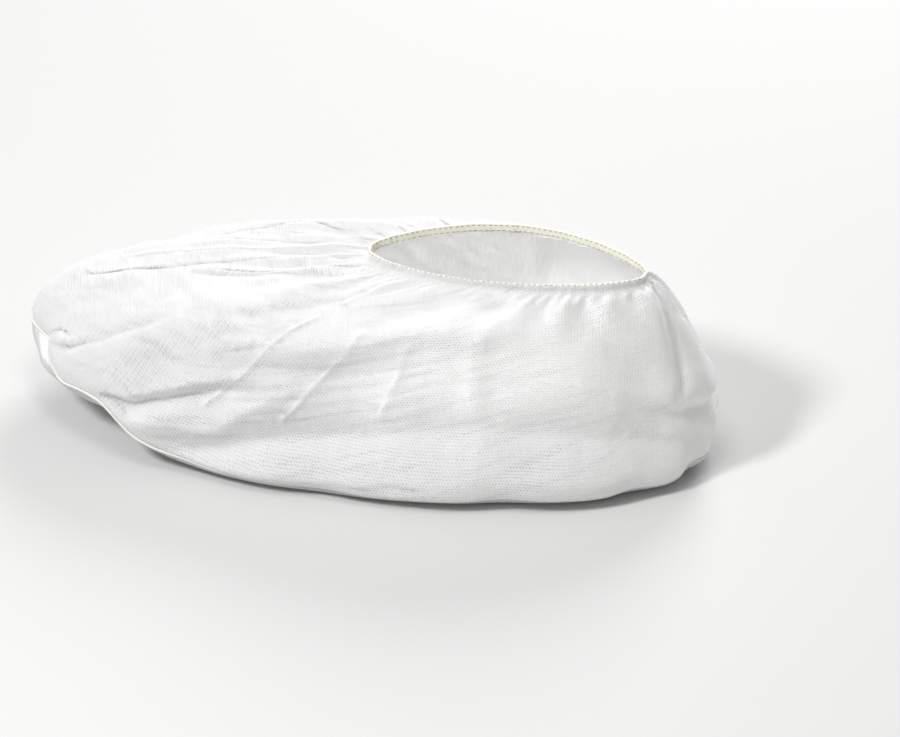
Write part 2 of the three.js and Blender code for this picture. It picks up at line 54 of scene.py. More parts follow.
MOUTH_CENTRE_Y = 2.4
MOUTH_HALF_LENGTH = 80.4
MOUTH_HALF_WIDTH = 31.2
MOUTH_TIP_FULLNESS = 0.75
MOUTH_HEIGHT = 118.0
MOUTH_CROWN = 6.8
MOUTH_CROWN_TURN = 0.8 * math.pi
HEM_HEIGHT = 6.4
HEM_START = 0.96
UPPER_THICKNESS = 0.4
SOLE_THICKNESS = 1.2
SEAM_RADIUS = 0.9
ELASTIC_WIDTH = 4.8
ELASTIC_THICKNESS = 0.6
GAP = 0.15
UPPER_REACH = 170.0
DEGREE_AT_SEAM = 3.0
DEGREE_AT_RIM = 1.15

# Both cloths end inside the bead, this share of its radius away from the seam's line.
BEAD_HOLD = 0.9

# Grids: how strongly columns crowd and where, how closely rows crowd at a tuck, and steps of their search.
CROWDING = 0.3
CROWDED_AT = math.radians(55)
PEAK_WIDTH = 0.035
HALVINGS = 24

# Unevenness of the cloth, in millimetres; slack as wave length and size.
FINE_LIMIT = 1.9
BROAD_GATHERS, BROAD_GATHER_DEPTH = 20, 2.2
FINE_GATHERS, FINE_GATHER_DEPTH = 57, 0.75
STREWN_CREASES = 150
RIPPLE_SHARE, RIPPLE_SWELL_WIDTH, RIPPLE_VALLEY_WIDTH = 0.6, 5.5, 2.4
SLACK_WAVES = ((64, 0.55), (47, 0.45), (33, 0.34), (24, 0.22), (17, 0.16), (12, 0.10), (9, 0.07))
SLACK_SHARE = 0.55
SEED = 11

# Sewing: pitch, length and thickness of a stitch, and how far the sole's stitches lie from its edge.
HEM_STITCH = (3.2, 2.1, 0.5)
SOLE_STITCH = (5.5, 1.4, 0.45)
SOLE_STITCH_INSET = 3.4

# How light goes through the cloth: reach of each colour and scale in metres.
THROUGH_RADIUS = (1.0, 1.0, 0.97)
THROUGH_SCALE = 0.003

# Sections round the cover: the sewn edge's height and how far it lies in under the upper, the handles of
# the upper's curve, the handles of the sole's curve.
SECTION_NAMES = [
    "at", "seam", "under", "low_out", "low_up", "high_out", "high_down", "flat", "turn", "wall", "wall_up",
]
SECTIONS = np.array([
    [0, 50, 0, 5, 42, 72, 20, 0.44, 0.76, 1.01, 0.50],
    [15, 43, 0, 5, 46, 70, 21, 0.42, 0.72, 1.10, 0.74],
    [30, 36, 0, 7, 51, 64, 18, 0.36, 0.63, 0.99, 0.60],
    [44, 36, 0, 8, 50, 56, 16, 0.37, 0.62, 0.93, 0.50],
    [53, 19, 1, 10, 55, 48, 10, 0.46, 0.70, 0.94, 0.30],
    [63, 11, 4, 11, 58, 42, 8, 0.56, 0.76, 0.95, 0.12],
    [76, 6.5, 5, 11, 60, 36, 8, 0.62, 0.79, 0.95, 0.10],
    [90, 5, 5, 11, 60, 30, 6, 0.64, 0.81, 0.95, 0.10],
    [120, 6, 5, 11, 58, 22, 6, 0.64, 0.81, 0.95, 0.10],
    [150, 6, 4.5, 10, 56, 16, 8, 0.62, 0.81, 0.96, 0.10],
    [180, 12, 2, 9, 48, 14, 6, 0.62, 0.83, 0.99, 0.10],
    [210, 6, 4, 10, 56, 16, 2, 0.62, 0.81, 0.97, 0.10],
    [240, 5, 4, 10, 60, 20, -4, 0.64, 0.81, 0.96, 0.10],
    [270, 5.5, 4, 8, 63, 26, -9, 0.64, 0.81, 0.96, 0.10],
    [297, 10, 2.5, 8, 66, 46, -8, 0.60, 0.79, 0.97, 0.12],
    [315, 20, 1, 8, 64, 58, -4, 0.50, 0.76, 0.97, 0.20],
    [332, 35, 0, 7, 54, 66, 5, 0.46, 0.74, 0.98, 0.34],
    [346, 46, 0, 5, 45.5, 72, 14, 0.45, 0.76, 0.99, 0.34],
])

# How the hem leans at each angle: 90 stands upright, less leans in over the mouth, more leans out.
HEM_LEAN = np.array([
    [0, 112], [14, 96], [30, 66], [50, 44], [90, 38], [130, 42], [160, 60], [180, 86], [210, 100],
    [270, 106], [320, 108], [345, 110],
])

# Dents of the sewn edge: at, spread in degrees, inward and lift in millimetres.
EDGE_DENTS = [
    (13, 6.5, 10.0, 1.0), (24, 6, 4.0, 0.0), (36, 5, 1.5, 0.0), (62, 5, 1.5, 0.0), (86, 6, 2.5, 1.0),
    (118, 6, 3.0, 1.5), (146, 6, 3.0, 2.0), (166, 5, 3.5, 2.0), (184, 5, 4.0, 3.0), (206, 7, 3.5, 2.0),
    (232, 7, 3.0, 2.0), (262, 8, 2.5, 1.0), (290, 6, 3.0, 1.0), (318, 5, 3.5, 1.0), (340, 4, 2.5, 1.0),
]

# Bands of cloth folded over round the upper: height above the plain surface is a broken line through the
# places "foot", "low", "tuck", "lip" and "high", given as up. "size" fades the band in and out round the
# cover. Each band's name stands before its heights in millimetres and the rounding of its corners in up.
BAND_NAMES = ["at", "foot", "low", "tuck", "lip", "high", "size"]
BANDS = [
    # toe lip: the vamp's cloth hangs over the cloth below it
    (
        (0.0, 1.5, -6.5, 3.5), 0.008,
        np.array([
            [36, 0.002, 0.005, 0.01, 0.02, 0.12, 0.0],
            [44, 0.005, 0.01, 0.02, 0.037, 0.17, 0.5],
            [50, 0.01, 0.03, 0.088, 0.128, 0.31, 1.0],
            [54.5, 0.03, 0.09, 0.172, 0.218, 0.38, 1.0],
            [59.8, 0.05, 0.12, 0.244, 0.293, 0.45, 0.95],
            [64.5, 0.06, 0.13, 0.295, 0.345, 0.50, 0.75],
            [69.2, 0.07, 0.15, 0.312, 0.362, 0.52, 0.45],
            [80, 0.10, 0.20, 0.31, 0.370, 0.54, 0.0],
        ]),
    ),
    # near skirt: the side's lowest cloth rolls out over the sewn edge and tucks in sharply above
    (
        (6.2, 4.8, -11.0, -9.3), 0.008,
        np.array([
            [52, 0.010, 0.015, 0.03, 0.05, 0.20, 0.0],
            [58, 0.012, 0.018, 0.035, 0.06, 0.14, 0.25],
            [63.8, 0.015, 0.02, 0.038, 0.06, 0.12, 0.48],
            [68.8, 0.02, 0.026, 0.072, 0.10, 0.18, 0.6],
            [72, 0.022, 0.034, 0.104, 0.136, 0.26, 0.74],
            [77, 0.024, 0.048, 0.138, 0.172, 0.36, 0.88],
            [82.5, 0.024, 0.056, 0.165, 0.202, 0.40, 0.95],
            [90, 0.024, 0.064, 0.199, 0.238, 0.44, 1.0],
            [101, 0.024, 0.080, 0.243, 0.287, 0.46, 1.0],
            [112, 0.024, 0.090, 0.26, 0.31, 0.50, 0.9],
            [130, 0.024, 0.09, 0.23, 0.28, 0.46, 0.8],
            [150, 0.024, 0.07, 0.17, 0.22, 0.40, 0.6],
            [168, 0.020, 0.05, 0.12, 0.17, 0.32, 0.3],
            [180, 0.020, 0.04, 0.10, 0.15, 0.30, 0.0],
        ]),
    ),
    # near side's crest: above it the cloth slopes up to the mouth, below it hangs straight down
    (
        (0.0, -4.6, -10.6, 11.4), 0.020,
        np.array([
            [50, 0.26, 0.32, 0.36, 0.42, 0.60, 0.0],
            [58, 0.28, 0.34, 0.39, 0.46, 0.64, 0.42],
            [73, 0.28, 0.36, 0.42, 0.52, 0.71, 0.62],
            [80, 0.28, 0.36, 0.43, 0.56, 0.75, 0.75],
            [86, 0.30, 0.38, 0.45, 0.60, 0.77, 1.0],
            [93, 0.31, 0.40, 0.46, 0.64, 0.81, 1.0],
            [105, 0.31, 0.40, 0.46, 0.65, 0.82, 0.9],
            [125, 0.32, 0.41, 0.48, 0.61, 0.80, 0.3],
            [140, 0.32, 0.41, 0.48, 0.60, 0.80, 0.0],
        ]),
    ),
    # far skirt
    (
        (3.0, 4.0, -6.0, -2.5), 0.008,
        np.array([
            [200, 0.020, 0.05, 0.12, 0.16, 0.32, 0.0],
            [212, 0.022, 0.06, 0.15, 0.20, 0.36, 0.5],
            [228, 0.024, 0.08, 0.20, 0.25, 0.42, 0.9],
            [245, 0.024, 0.09, 0.24, 0.30, 0.48, 0.8],
            [262, 0.024, 0.07, 0.21, 0.26, 0.44, 1.0],
            [280, 0.024, 0.05, 0.15, 0.20, 0.36, 1.0],
            [292, 0.020, 0.04, 0.09, 0.13, 0.28, 0.5],
            [303, 0.010, 0.02, 0.05, 0.09, 0.22, 0.0],
        ]),
    ),
    # fold over the heel
    (
        (0.0, 1.5, -4.0, 3.0), 0.008,
        np.array([
            [140, 0.12, 0.24, 0.34, 0.39, 0.52, 0.0],
            [156, 0.10, 0.20, 0.28, 0.33, 0.48, 0.7],
            [172, 0.08, 0.16, 0.23, 0.28, 0.44, 1.0],
            [186, 0.08, 0.15, 0.21, 0.25, 0.42, 0.9],
            [200, 0.10, 0.19, 0.25, 0.29, 0.46, 0.5],
            [214, 0.12, 0.24, 0.31, 0.36, 0.50, 0.0],
        ]),
    ),
]

# Soft folds up the upper: from and to as up, degrees at the start, middle and end, width, ledge, depth.
FOLDS_RISING = [
    (-0.10, 0.14, (13, 14, 18), 4, 0, -3.0),
    (0.10, 0.50, (26, 35, 34.5), 6, 0, -2.0),
    (0.56, 0.98, (5, 14, 34), 9, 3, -1.2),
    (0.50, 0.98, (45, 54, 61), 9, 0, -2.0),
    (0.34, 0.97, (-11, -16, -24), 9, 4, 1.4),
    (0.26, 0.97, (-26, -31, -38), 10, 0, -2.0),
    (0.38, 0.97, (-36, -46, -54), 8, 0, 1.6),
    (0.25, 0.85, (113, 106, 103), 5, 0, 1.8),
    (0.28, 0.97, (158, 168, 164), 8, 0, -2.6),
    (0.16, 0.97, (197, 190, 194), 9, 0, -2.6),
    (0.28, 0.85, (246, 250, 252), 5, 0, 2.0),
    (0.28, 0.85, (277, 272, 274), 5, 0, 2.0),
    (-0.05, 0.46, (322, 327, 318), 8, 0, -3.5),
]

# Creases: the line's places as (degrees, up), width and depth in millimetres, and "ledge", the width of
# the step where one side lies over the other, or 0 for a ridge or valley with a sharp top.
CREASES = [
    # long pleats from the mouth's front over the vamp: narrow grooves
    ([(-19.2, 0.39), (-29.8, 0.522), (-36, 0.585), (-43, 0.62), (-44.8, 0.65), (-42.2, 0.753), (-44, 0.813),
      (-40, 0.94)], 1.3, -1.5, 0),
    ([(-22, 0.53), (-24.8, 0.682), (-25.8, 0.756), (-30, 0.84), (-27, 0.95)], 1.1, -1.2, 0),
    ([(-7.8, 0.40), (-11, 0.562), (-13.2, 0.649), (-16.2, 0.749), (-15, 0.86)], 3.5, -1.0, 0),
    ([(-3.5, 0.291), (0, 0.331), (0.8, 0.43), (0.2, 0.525), (-1.5, 0.595), (-3, 0.662), (-5.8, 0.749),
      (-6.8, 0.80), (-6, 0.90)], 1.2, -1.3, 0),
    ([(3.7, 0.62), (7, 0.682), (10.2, 0.736), (12, 0.809), (15.8, 0.88), (19, 0.94)], 1.2, -1.4, 0),
    ([(-24, 0.74), (-23, 0.803), (-20.2, 0.853), (-19, 0.91), (-17, 0.955)], 1.0, -1.2, 0),
    ([(-35, 0.66), (-33, 0.742), (-31.8, 0.809), (-31.2, 0.88), (-29, 0.95)], 1.0, -1.2, 0),
    ([(-5.5, 0.81), (-4.2, 0.856), (0.2, 0.91), (3, 0.955)], 0.9, -1.0, 0),
    ([(-12.5, 0.78), (-12, 0.86), (-10, 0.955)], 0.9, -1.0, 0),
    ([(9, 0.84), (9.5, 0.90), (8, 0.955)], 0.9, -0.9, 0),
    ([(-54, 0.76), (-50, 0.85), (-46, 0.955)], 1.0, -1.1, 0),
    ([(-62, 0.74), (-59, 0.84), (-56, 0.955)], 1.0, -1.1, 0),
    ([(-73, 0.76), (-69, 0.85), (-67, 0.955)], 1.0, -1.1, 0),
    # the same pleats' soft steps, one side lying a little over the other
    ([(-3.5, 0.291), (0, 0.331), (0.8, 0.43), (0.2, 0.53), (-1.5, 0.6), (-3, 0.67), (-6, 0.78)],
     7, 0.3, 1.2),
    ([(2.5, 0.58), (4.5, 0.642), (7.3, 0.692), (10.5, 0.746), (14.8, 0.836), (17, 0.9)], 6, 0.25, 1.2),
    ([(57.7, 0.72), (56.0, 0.839), (55.2, 0.9), (55.5, 0.967)], 4, -0.5, 1.4),
    ([(62.5, 0.78), (64.5, 0.89), (66.0, 0.963)], 3.5, -0.4, 1.3),
    ([(30.8, 0.86), (38.8, 0.933), (50.8, 0.96)], 3, 0.3, 1.3),
    # sharp ridges across the side
    ([(63.0, 0.20), (64.8, 0.351), (64.2, 0.435), (62.2, 0.542), (60.8, 0.66)], 1.5, 1.7, 0),
    ([(77.6, 0.20), (79.2, 0.304), (79.2, 0.381), (79.0, 0.448), (79.5, 0.515), (77.0, 0.635)],
     1.5, 1.9, 0),
    ([(93.8, 0.26), (92.8, 0.385), (92.0, 0.462), (89.2, 0.60)], 1.5, 1.9, 0),
    # pucker at the toe
    ([(15, 0.04), (17.5, 0.10), (21, 0.165), (25.5, 0.195), (29, 0.20)], 1.9, -1.3, 0),
    ([(19.5, 0.07), (26, 0.13), (30, 0.167), (35, 0.247), (36.2, 0.344), (35.8, 0.44)], 4.0, -0.9, 0),
    # crease along the skirt's foot
    ([(72, 0.004), (79.5, 0.016), (86.2, 0.024), (92.8, 0.042), (98.5, 0.058), (106, 0.07)], 2.2, -1.2, 0),
    # shallow valleys
    ([(44, 0.61), (54.0, 0.679), (64, 0.745)], 3.2, -0.4, 0),
    ([(55, 0.40), (62.0, 0.475), (66, 0.53)], 2.4, -0.5, 0),
]

# Fine level ripples in the side: from and to as (degrees, up), and depth in millimetres.
RIPPLES = [
    ((73, 0.44), (86, 0.56), 0.45), ((70, 0.33), (95, 0.50), 0.6), ((72, 0.28), (90, 0.40), 0.55),
    ((74, 0.24), (86, 0.31), 0.45), ((84, 0.44), (97, 0.53), 0.55), ((83, 0.40), (97, 0.47), 0.5),
    ((88, 0.31), (100, 0.37), 0.5), ((90, 0.36), (101, 0.44), 0.5), ((66, 0.42), (78, 0.52), 0.45),
    ((60, 0.36), (72, 0.44), 0.4), ((64, 0.24), (74, 0.31), 0.4), ((92, 0.44), (104, 0.50), 0.45),
    ((78, 0.50), (90, 0.59), 0.4), ((56, 0.46), (68, 0.55), 0.35), ((88, 0.25), (102, 0.30), 0.45),
    ((96, 0.52), (112, 0.60), 0.4), ((102, 0.36), (118, 0.43), 0.4), ((106, 0.46), (124, 0.50), 0.4),
    ((86, 0.53), (99, 0.585), 0.45), ((80, 0.36), (92, 0.43), 0.45), ((86, 0.27), (97, 0.335), 0.45),
    ((68, 0.38), (80, 0.455), 0.4), ((94, 0.40), (106, 0.455), 0.4), ((76, 0.47), (88, 0.53), 0.35),
]

# Broad hollows and swells: at, up, spread in degrees, rise, depth.
HOLLOWS = [
    (25.5, 0.160, 3.2, 0.03, 2.6), (30, 0.215, 4, 0.035, 1.2),
    (150, 0.42, 26, 0.18, -3.0), (262, 0.46, 34, 0.16, -2.0),
]


# ---------------------------------------------------------------- small maths, on whole arrays
def turn_of(difference):
    """A difference of angles in degrees, brought to between -180 and 180."""
    return (difference + 180.0) % 360.0 - 180.0


def smooth(start, end, value):
    """0 before start, 1 after end, and a soft S between them."""
    s = np.clip((value - start) / (end - start), 0.0, 1.0)
    return s * s * (3.0 - 2.0 * s)


def bell(distance, width):
    return np.exp(-((distance / width) ** 2))


def through_three(s, values):
    """The parabola that has the three values at s = 0, 0.5 and 1."""
    start, middle, end = values
    return start * (1 - s) * (1 - 2 * s) + 4 * middle * s * (1 - s) + end * s * (2 * s - 1)


def cubic(s, a, b, c, d):
    """The cubic Bezier curve with the handles a, b, c and d."""
    return (1 - s) ** 3 * a + 3 * (1 - s) ** 2 * s * b + 3 * (1 - s) * s * s * c + s ** 3 * d


def signed_power(value, power):
    return np.sign(value) * np.abs(value) ** power


def unit(vectors):
    return vectors / (np.linalg.norm(vectors, axis=-1, keepdims=True) + 1e-12)


def section(name, angle):
    """One column of SECTIONS at each angle: a smooth closed curve through the rows."""
    value = SECTIONS[:, SECTION_NAMES.index(name)]
    at = SECTIONS[:, 0]
    at = np.concatenate([at - 360, at, at + 360])
    value = np.tile(value, 3)
    slope = np.zeros_like(value)
    slope[1:-1] = (value[2:] - value[:-2]) / (at[2:] - at[:-2])
    where = np.degrees(angle) % 360.0
    i = np.searchsorted(at, where, side="right") - 1
    step = at[i + 1] - at[i]
    s = (where - at[i]) / step
    return (
        (2 * s ** 3 - 3 * s ** 2 + 1) * value[i]
        + (s ** 3 - 2 * s ** 2 + s) * step * slope[i]
        + (3 * s ** 2 - 2 * s ** 3) * value[i + 1]
        + (s ** 3 - s ** 2) * step * slope[i + 1]
    )


# ---------------------------------------------------------------- the three curves everything hangs on
def outline(angle):
    """The undented edge of the sole: a superellipse seen from above, at the sewn edge's height."""
    power = 2 / SOLE_SQUARENESS
    x = -SOLE_HALF_LENGTH * signed_power(np.cos(angle), power)
    widening = 1 - SOLE_TOE_WIDENING * x / SOLE_HALF_LENGTH
    y = -SOLE_HALF_WIDTH * signed_power(np.sin(angle), power) * widening
    return np.stack([x, y, section("seam", angle)], -1)


def seam(angle):
    """The sewn edge: the outline pulled in and up by a bell curve at each dent."""
    point = outline(angle)
    inward = section("under", angle)
    lift = np.zeros_like(angle)
    for at, spread, depth, rise in EDGE_DENTS:
        share = bell(turn_of(np.degrees(angle) - at), spread)
        inward = inward + depth * share
        lift = lift + rise * share
    keep = 1 - inward / np.hypot(point[..., 0], point[..., 1])
    return np.stack([point[..., 0] * keep, point[..., 1] * keep, point[..., 2] + lift], -1)


def rim(angle):
    """The mouth's edge: an oval with drawn-in ends, lowest at its front tip."""
    side = np.sin(angle)
    x = MOUTH_CENTRE_X - MOUTH_HALF_LENGTH * np.cos(angle)
    fullness = MOUTH_TIP_FULLNESS + (1 - MOUTH_TIP_FULLNESS) * side * side
    y = MOUTH_CENTRE_Y - MOUTH_HALF_WIDTH * side * fullness
    along = (1 - np.cos(angle)) / 2
    return np.stack([x, y, MOUTH_HEIGHT + MOUTH_CROWN * np.sin(along * MOUTH_CROWN_TURN)], -1)


# ---------------------------------------------------------------- the upper's surface
def through_rows(rows, column, angle):
    """One column of a table whose first column is degrees, straight between rows and closed round."""
    return np.interp(np.degrees(angle) % 360.0, rows[:, 0], rows[:, column], period=360)


def collar(angle):
    """The hem's foot, its way up to the rim, leaning as HEM_LEAN says, and the level way outward."""
    top = rim(angle)
    level = np.array([1.0, 1.0, 0.0])
    outward = unit((outline(angle) - top) * level)
    lean = np.radians(through_rows(HEM_LEAN, 1, angle))[..., None]
    way = np.array([0.0, 0.0, 1.0]) * np.sin(lean) - outward * np.cos(lean)
    return top - way * HEM_HEIGHT, way, outward


def upper_handles(angle):
    edge = outline(angle)
    foot, way, outward = collar(angle)
    low = edge + outward * section("low_out", angle)[..., None]
    low[..., 2] += section("low_up", angle)
    high = foot + outward * section("high_out", angle)[..., None]
    high[..., 2] -= section("high_down", angle)
    return seam(angle), low, high, foot


def unfolded_upper(angle, up):
    """A cubic curve from the sewn edge to the hem's foot, then the straight hem up to the rim."""
    foot, way, _ = collar(angle)
    share = up / HEM_START
    below = 1 - soft_ramp(1 - share, 0.008)
    above = soft_ramp(share - 1, 0.008) * HEM_START / (1 - HEM_START)
    return cubic(below[..., None], *upper_handles(angle)) + way * (HEM_HEIGHT * above)[..., None]


def outward_of(surface, angle, up):
    """Unit normals of a surface, from small steps along its two parameters."""
    step = 1e-3
    low, high = np.clip(up - step, 0, 1), np.clip(up + step, 0, 1)
    along = surface(angle + step, up) - surface(angle - step, up)
    rising = surface(angle, high) - surface(angle, low)
    return unit(np.cross(along, rising))


def fold_fade(s):
    return smooth(0, 0.16, s) * (1 - smooth(0.62, 1, s))


def fold_shape(distance, width, ledge):
    body = bell(distance, width)
    return 1.25 * np.tanh(distance / ledge) * body if ledge else body


def degree_width(up):
    return DEGREE_AT_SEAM * (1 - up) + DEGREE_AT_RIM * up


def band_places(rows, angle):
    """A band's places and its size at each angle, straight between rows and held beyond them."""
    where = np.degrees(angle) % 360.0
    columns = [np.interp(where, rows[:, 0], rows[:, i]) for i in range(1, len(BAND_NAMES))]
    size = columns[-1]
    return columns[:-1], size * size * (3 - 2 * size)


def band_height(angle, up):
    """Sum of the bands: each a broken line in up, its corners rounded with soft ramps."""
    total = np.zeros(np.broadcast(angle, up).shape)
    for heights, corner, rows in BANDS:
        columns, size = band_places(rows, angle)
        places = [0 * columns[0], *columns]
        levels = [0.0, *heights, 0.0]
        slopes = [0.0]
        for i in range(len(places) - 1):
            slopes.append((levels[i + 1] - levels[i]) / (places[i + 1] - places[i]))
        slopes.append(0.0)
        for i, place in enumerate(places):
            total += size * (slopes[i + 1] - slopes[i]) * soft_ramp(up - place, corner)
    return total


def soft_ramp(value, corner):
    """0 below nothing and the value itself above it, with a rounded corner."""
    return corner * np.logaddexp(0.0, value / corner)


def crease_line_height(angle, up):
    """Sum of the creases: each a ridge, valley or ledge across a broken line, faded at both ends."""
    at = np.degrees(angle)
    height = np.zeros(np.broadcast(angle, up).shape)
    across = degree_width(up)
    for places, width, depth, ledge in CREASES:
        places = np.array(places, float)
        lengths = np.hypot(np.diff(places[:, 0]) * 1.9, np.diff(places[:, 1]) * UPPER_REACH)
        ends = np.concatenate([[0], np.cumsum(lengths)]) / lengths.sum()
        nearest = np.full(height.shape, 1e9)
        aside = np.zeros(height.shape)
        along = np.zeros(height.shape)
        for i in range(len(places) - 1):
            x = turn_of(at - places[i, 0]) * across
            y = (up - places[i, 1]) * UPPER_REACH
            dx = (places[i + 1, 0] - places[i, 0]) * across
            dy = (places[i + 1, 1] - places[i, 1]) * UPPER_REACH
            s = np.clip((x * dx + y * dy) / (dx * dx + dy * dy), 0, 1)
            off = np.hypot(x - s * dx, y - s * dy)
            side = np.sign(x * dy - y * dx)
            closer = off < nearest
            nearest = np.where(closer, off, nearest)
            aside = np.where(closer, side * off, aside)
            along = np.where(closer, ends[i] + s * (ends[i + 1] - ends[i]), along)
        if ledge:
            shape = -1.25 * np.tanh(aside / ledge) * bell(aside, width)
        else:
            shape = np.exp(-np.abs(aside) / width)
        height += depth * shape * smooth(0, 0.12, along) * (1 - smooth(0.88, 1, along))
    return height


def fold_height(angle, up):
    """Sum of all folds and hollows, each a bell or a ledge across its line and faded along it."""
    at = np.degrees(angle)
    height = band_height(angle, up)
    for start, end, line, width, ledge, depth in FOLDS_RISING:
        s = np.clip((up - start) / (end - start), 0, 1)
        distance = turn_of(at - through_three(s, line)) * degree_width(up)
        height += depth * fold_shape(distance, width, ledge) * fold_fade(s)
    for middle, level, spread, rise, depth in HOLLOWS:
        height += depth * bell(turn_of(at - middle), spread) * bell(up - level, rise)
    return height * smooth(-0.01, 0.012, up)


def gather_height(angle, up):
    """Uneven waves round the mouth: broad ones down the upper and fine ones close to the elastic."""
    calm = 1 - 0.7 * bell(turn_of(np.degrees(angle) - 75), 38)
    drift = 1.3 * np.sin(3 * angle + 1) + 0.8 * np.sin(5 * angle + 2)
    reach = smooth(0.58, 0.86, up) * (1 - 0.9 * smooth(0.86, HEM_START, up))
    broad = BROAD_GATHER_DEPTH * reach * np.cos(BROAD_GATHERS * angle + drift)
    close = smooth(0.80, 0.93, up) * (1 - 0.85 * smooth(0.93, HEM_START, up))
    fine = FINE_GATHER_DEPTH * close * np.cos(FINE_GATHERS * angle + 3 * drift + np.sin(9 * angle))
    return calm * (broad + fine)


def crease_height(angle, up):
    """Short straight creases strewn over the cloth: sharp ridges and valleys, faded at both ends."""
    rng = np.random.default_rng(SEED)
    at = np.degrees(angle)
    across = degree_width(up)
    height = np.zeros(np.broadcast(angle, up).shape)
    for _ in range(STREWN_CREASES):
        middle, level = rng.uniform(0, 360), rng.uniform(0.06, 0.86)
        lean = rng.normal(0.9, 0.45) * rng.choice([-1, 1], p=[0.3, 0.7])
        length, width = rng.uniform(18, 46), rng.uniform(1.8, 3.8)
        depth = rng.uniform(0.10, 0.42) * rng.choice([-1, 1])
        x = turn_of(at - middle) * across
        y = (up - level) * UPPER_REACH
        along = x * math.cos(lean) + y * math.sin(lean)
        aside = y * math.cos(lean) - x * math.sin(lean)
        height += depth * np.exp(-np.abs(aside) / width) * bell(along, length / 2)
    return height


def ripple_height(angle, up):
    """Sum of the ripples: a valley along a straight line with a softer swell on either side."""
    at = np.degrees(angle)
    across = degree_width(up)
    height = np.zeros(np.broadcast(angle, up).shape)
    for (first, low), (last, high), depth in RIPPLES:
        x = turn_of(at - first) * across
        y = (up - low) * UPPER_REACH
        dx, dy = (last - first) * across, (high - low) * UPPER_REACH
        reach = np.hypot(dx, dy)
        along = (x * dx + y * dy) / reach ** 2
        aside = (y * dx - x * dy) / reach
        shape = 0.5 * bell(aside, RIPPLE_SWELL_WIDTH) - 1.1 * bell(aside, RIPPLE_VALLEY_WIDTH)
        height += RIPPLE_SHARE * depth * shape * smooth(-0.15, 0.2, along) * (1 - smooth(0.8, 1.15, along))
    return height


def slack_height(point):
    """Slow unevenness of soft cloth: a sum of sine waves in slanted directions with seeded phases."""
    rng = np.random.default_rng(SEED + 1)
    height = np.zeros(point.shape[:-1])
    for length, size in SLACK_WAVES:
        for _ in range(3):
            way = unit(rng.normal(size=3))
            wave = point @ way * 2 * np.pi / length + rng.uniform(0, 2 * np.pi)
            height += size * np.sin(wave + 0.8 * np.sin(wave * 0.37 + 1.0))
    return height


def upper_surface(angle, up):
    """The folded upper: the plain curve moved along its normal by folds, gathers, creases and slack."""
    point = unfolded_upper(angle, up)
    loose = smooth(0.0, 0.08, up) * (1 - smooth(0.9, 0.985, up))
    fine = crease_line_height(angle, up) * smooth(0, 0.03, up)
    fine += loose * (crease_height(angle, up) + ripple_height(angle, up))
    height = fold_height(angle, up) + gather_height(angle, up) + FINE_LIMIT * np.tanh(fine / FINE_LIMIT)
    height += loose * slack_height(point) * SLACK_SHARE
    return point + outward_of(unfolded_upper, angle, up) * height[..., None]


def share_of(length, handle, end):
    """Share of up that covers a length of cloth at one end of the curve."""
    return length / (3 * np.linalg.norm(handle - end, axis=-1))


# ---------------------------------------------------------------- the sole's surface
def sole_surface(angle, s):
    """The underside: one cubic curve from the flat middle's edge at s = 0 out to the sewn edge at s = 1."""
    edge, end = outline(angle), seam(angle)
    shares = [section(name, angle)[..., None] for name in ("flat", "turn", "wall")]
    level = np.array([1.0, 1.0, 0.0])
    flat, turn, wall = (edge * level * share for share in shares)
    wall[..., 2] = section("wall_up", angle) * edge[..., 2]
    return cubic(s[..., None], flat, turn, wall, end)


def share_at_sole_edge(angle, length):
    """Share of the sole's curve up to a length from the sewn edge, from the pace of its last tenth."""
    tenth = sole_surface(angle, np.full(len(angle), 1.0)) - sole_surface(angle, np.full(len(angle), 0.9))
    return 1 - length / (np.linalg.norm(tenth, axis=-1) / 0.1)


# ---------------------------------------------------------------- meshes from grids
def grid_normals(points):
    """Unit normals of a grid closed round its first axis, from each point's neighbours."""
    along = np.roll(points, -1, 0) - np.roll(points, 1, 0)
    across = np.gradient(points, axis=1)
    return unit(np.cross(along, across))


def quads(count, rows, first=0, closed=False, flip=False):
    """Faces of a grid of count points round and rows points across, joined round."""
    i = np.arange(count)[:, None]
    j = np.arange(rows if closed else rows - 1)[None, :]
    a = first + i * rows + j
    b = first + (i + 1) % count * rows + j
    c = first + (i + 1) % count * rows + (j + 1) % rows
    d = first + i * rows + (j + 1) % rows
    faces = np.stack([a, b, c, d], -1).reshape(-1, 4)
    return faces[:, ::-1] if flip else faces


def piece(name, points, faces, material, replaced=(), uv=None, triangles=None):
    """A smooth-shaded mesh from arrays of points in millimetres and of faces, riding on the one body."""
    mesh = bpy.data.meshes.new(name)
    polygons = faces.tolist() + ([] if triangles is None else triangles.tolist())
    mesh.from_pydata((points.reshape(-1, 3) * METRE).tolist(), [], polygons)
    mesh.update()
    mesh.polygons.foreach_set("use_smooth", np.ones(len(mesh.polygons), bool))
    if uv is not None:
        corners = np.empty(len(mesh.loops), np.int32)
        mesh.loops.foreach_get("vertex_index", corners)
        layer = mesh.uv_layers.new(name="cloth")
        layer.data.foreach_set("uv", (uv.reshape(-1, 2)[corners] * METRE).astype(np.float32).ravel())
    made = bpy.data.objects.new(name, mesh)
    bpy.context.scene.collection.objects.link(made)
    mesh.materials.append(material)
    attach(made, "root")
    if replaced:
        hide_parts(*replaced)
    return made


def around(count):
    """Angles round the cover, closer together at the toe and the near side."""
    even = np.linspace(0, 2 * np.pi, count, endpoint=False)
    return even - CROWDING * (np.sin(even - CROWDED_AT) + math.sin(CROWDED_AT))


# ---------------------------------------------------------------- node helpers
def new_material(name):
    material = bpy.data.materials.new(name)
    material.use_nodes = True
    nodes = material.node_tree.nodes
    shader = nodes["Principled BSDF"]
    return material, nodes, material.node_tree.links, shader


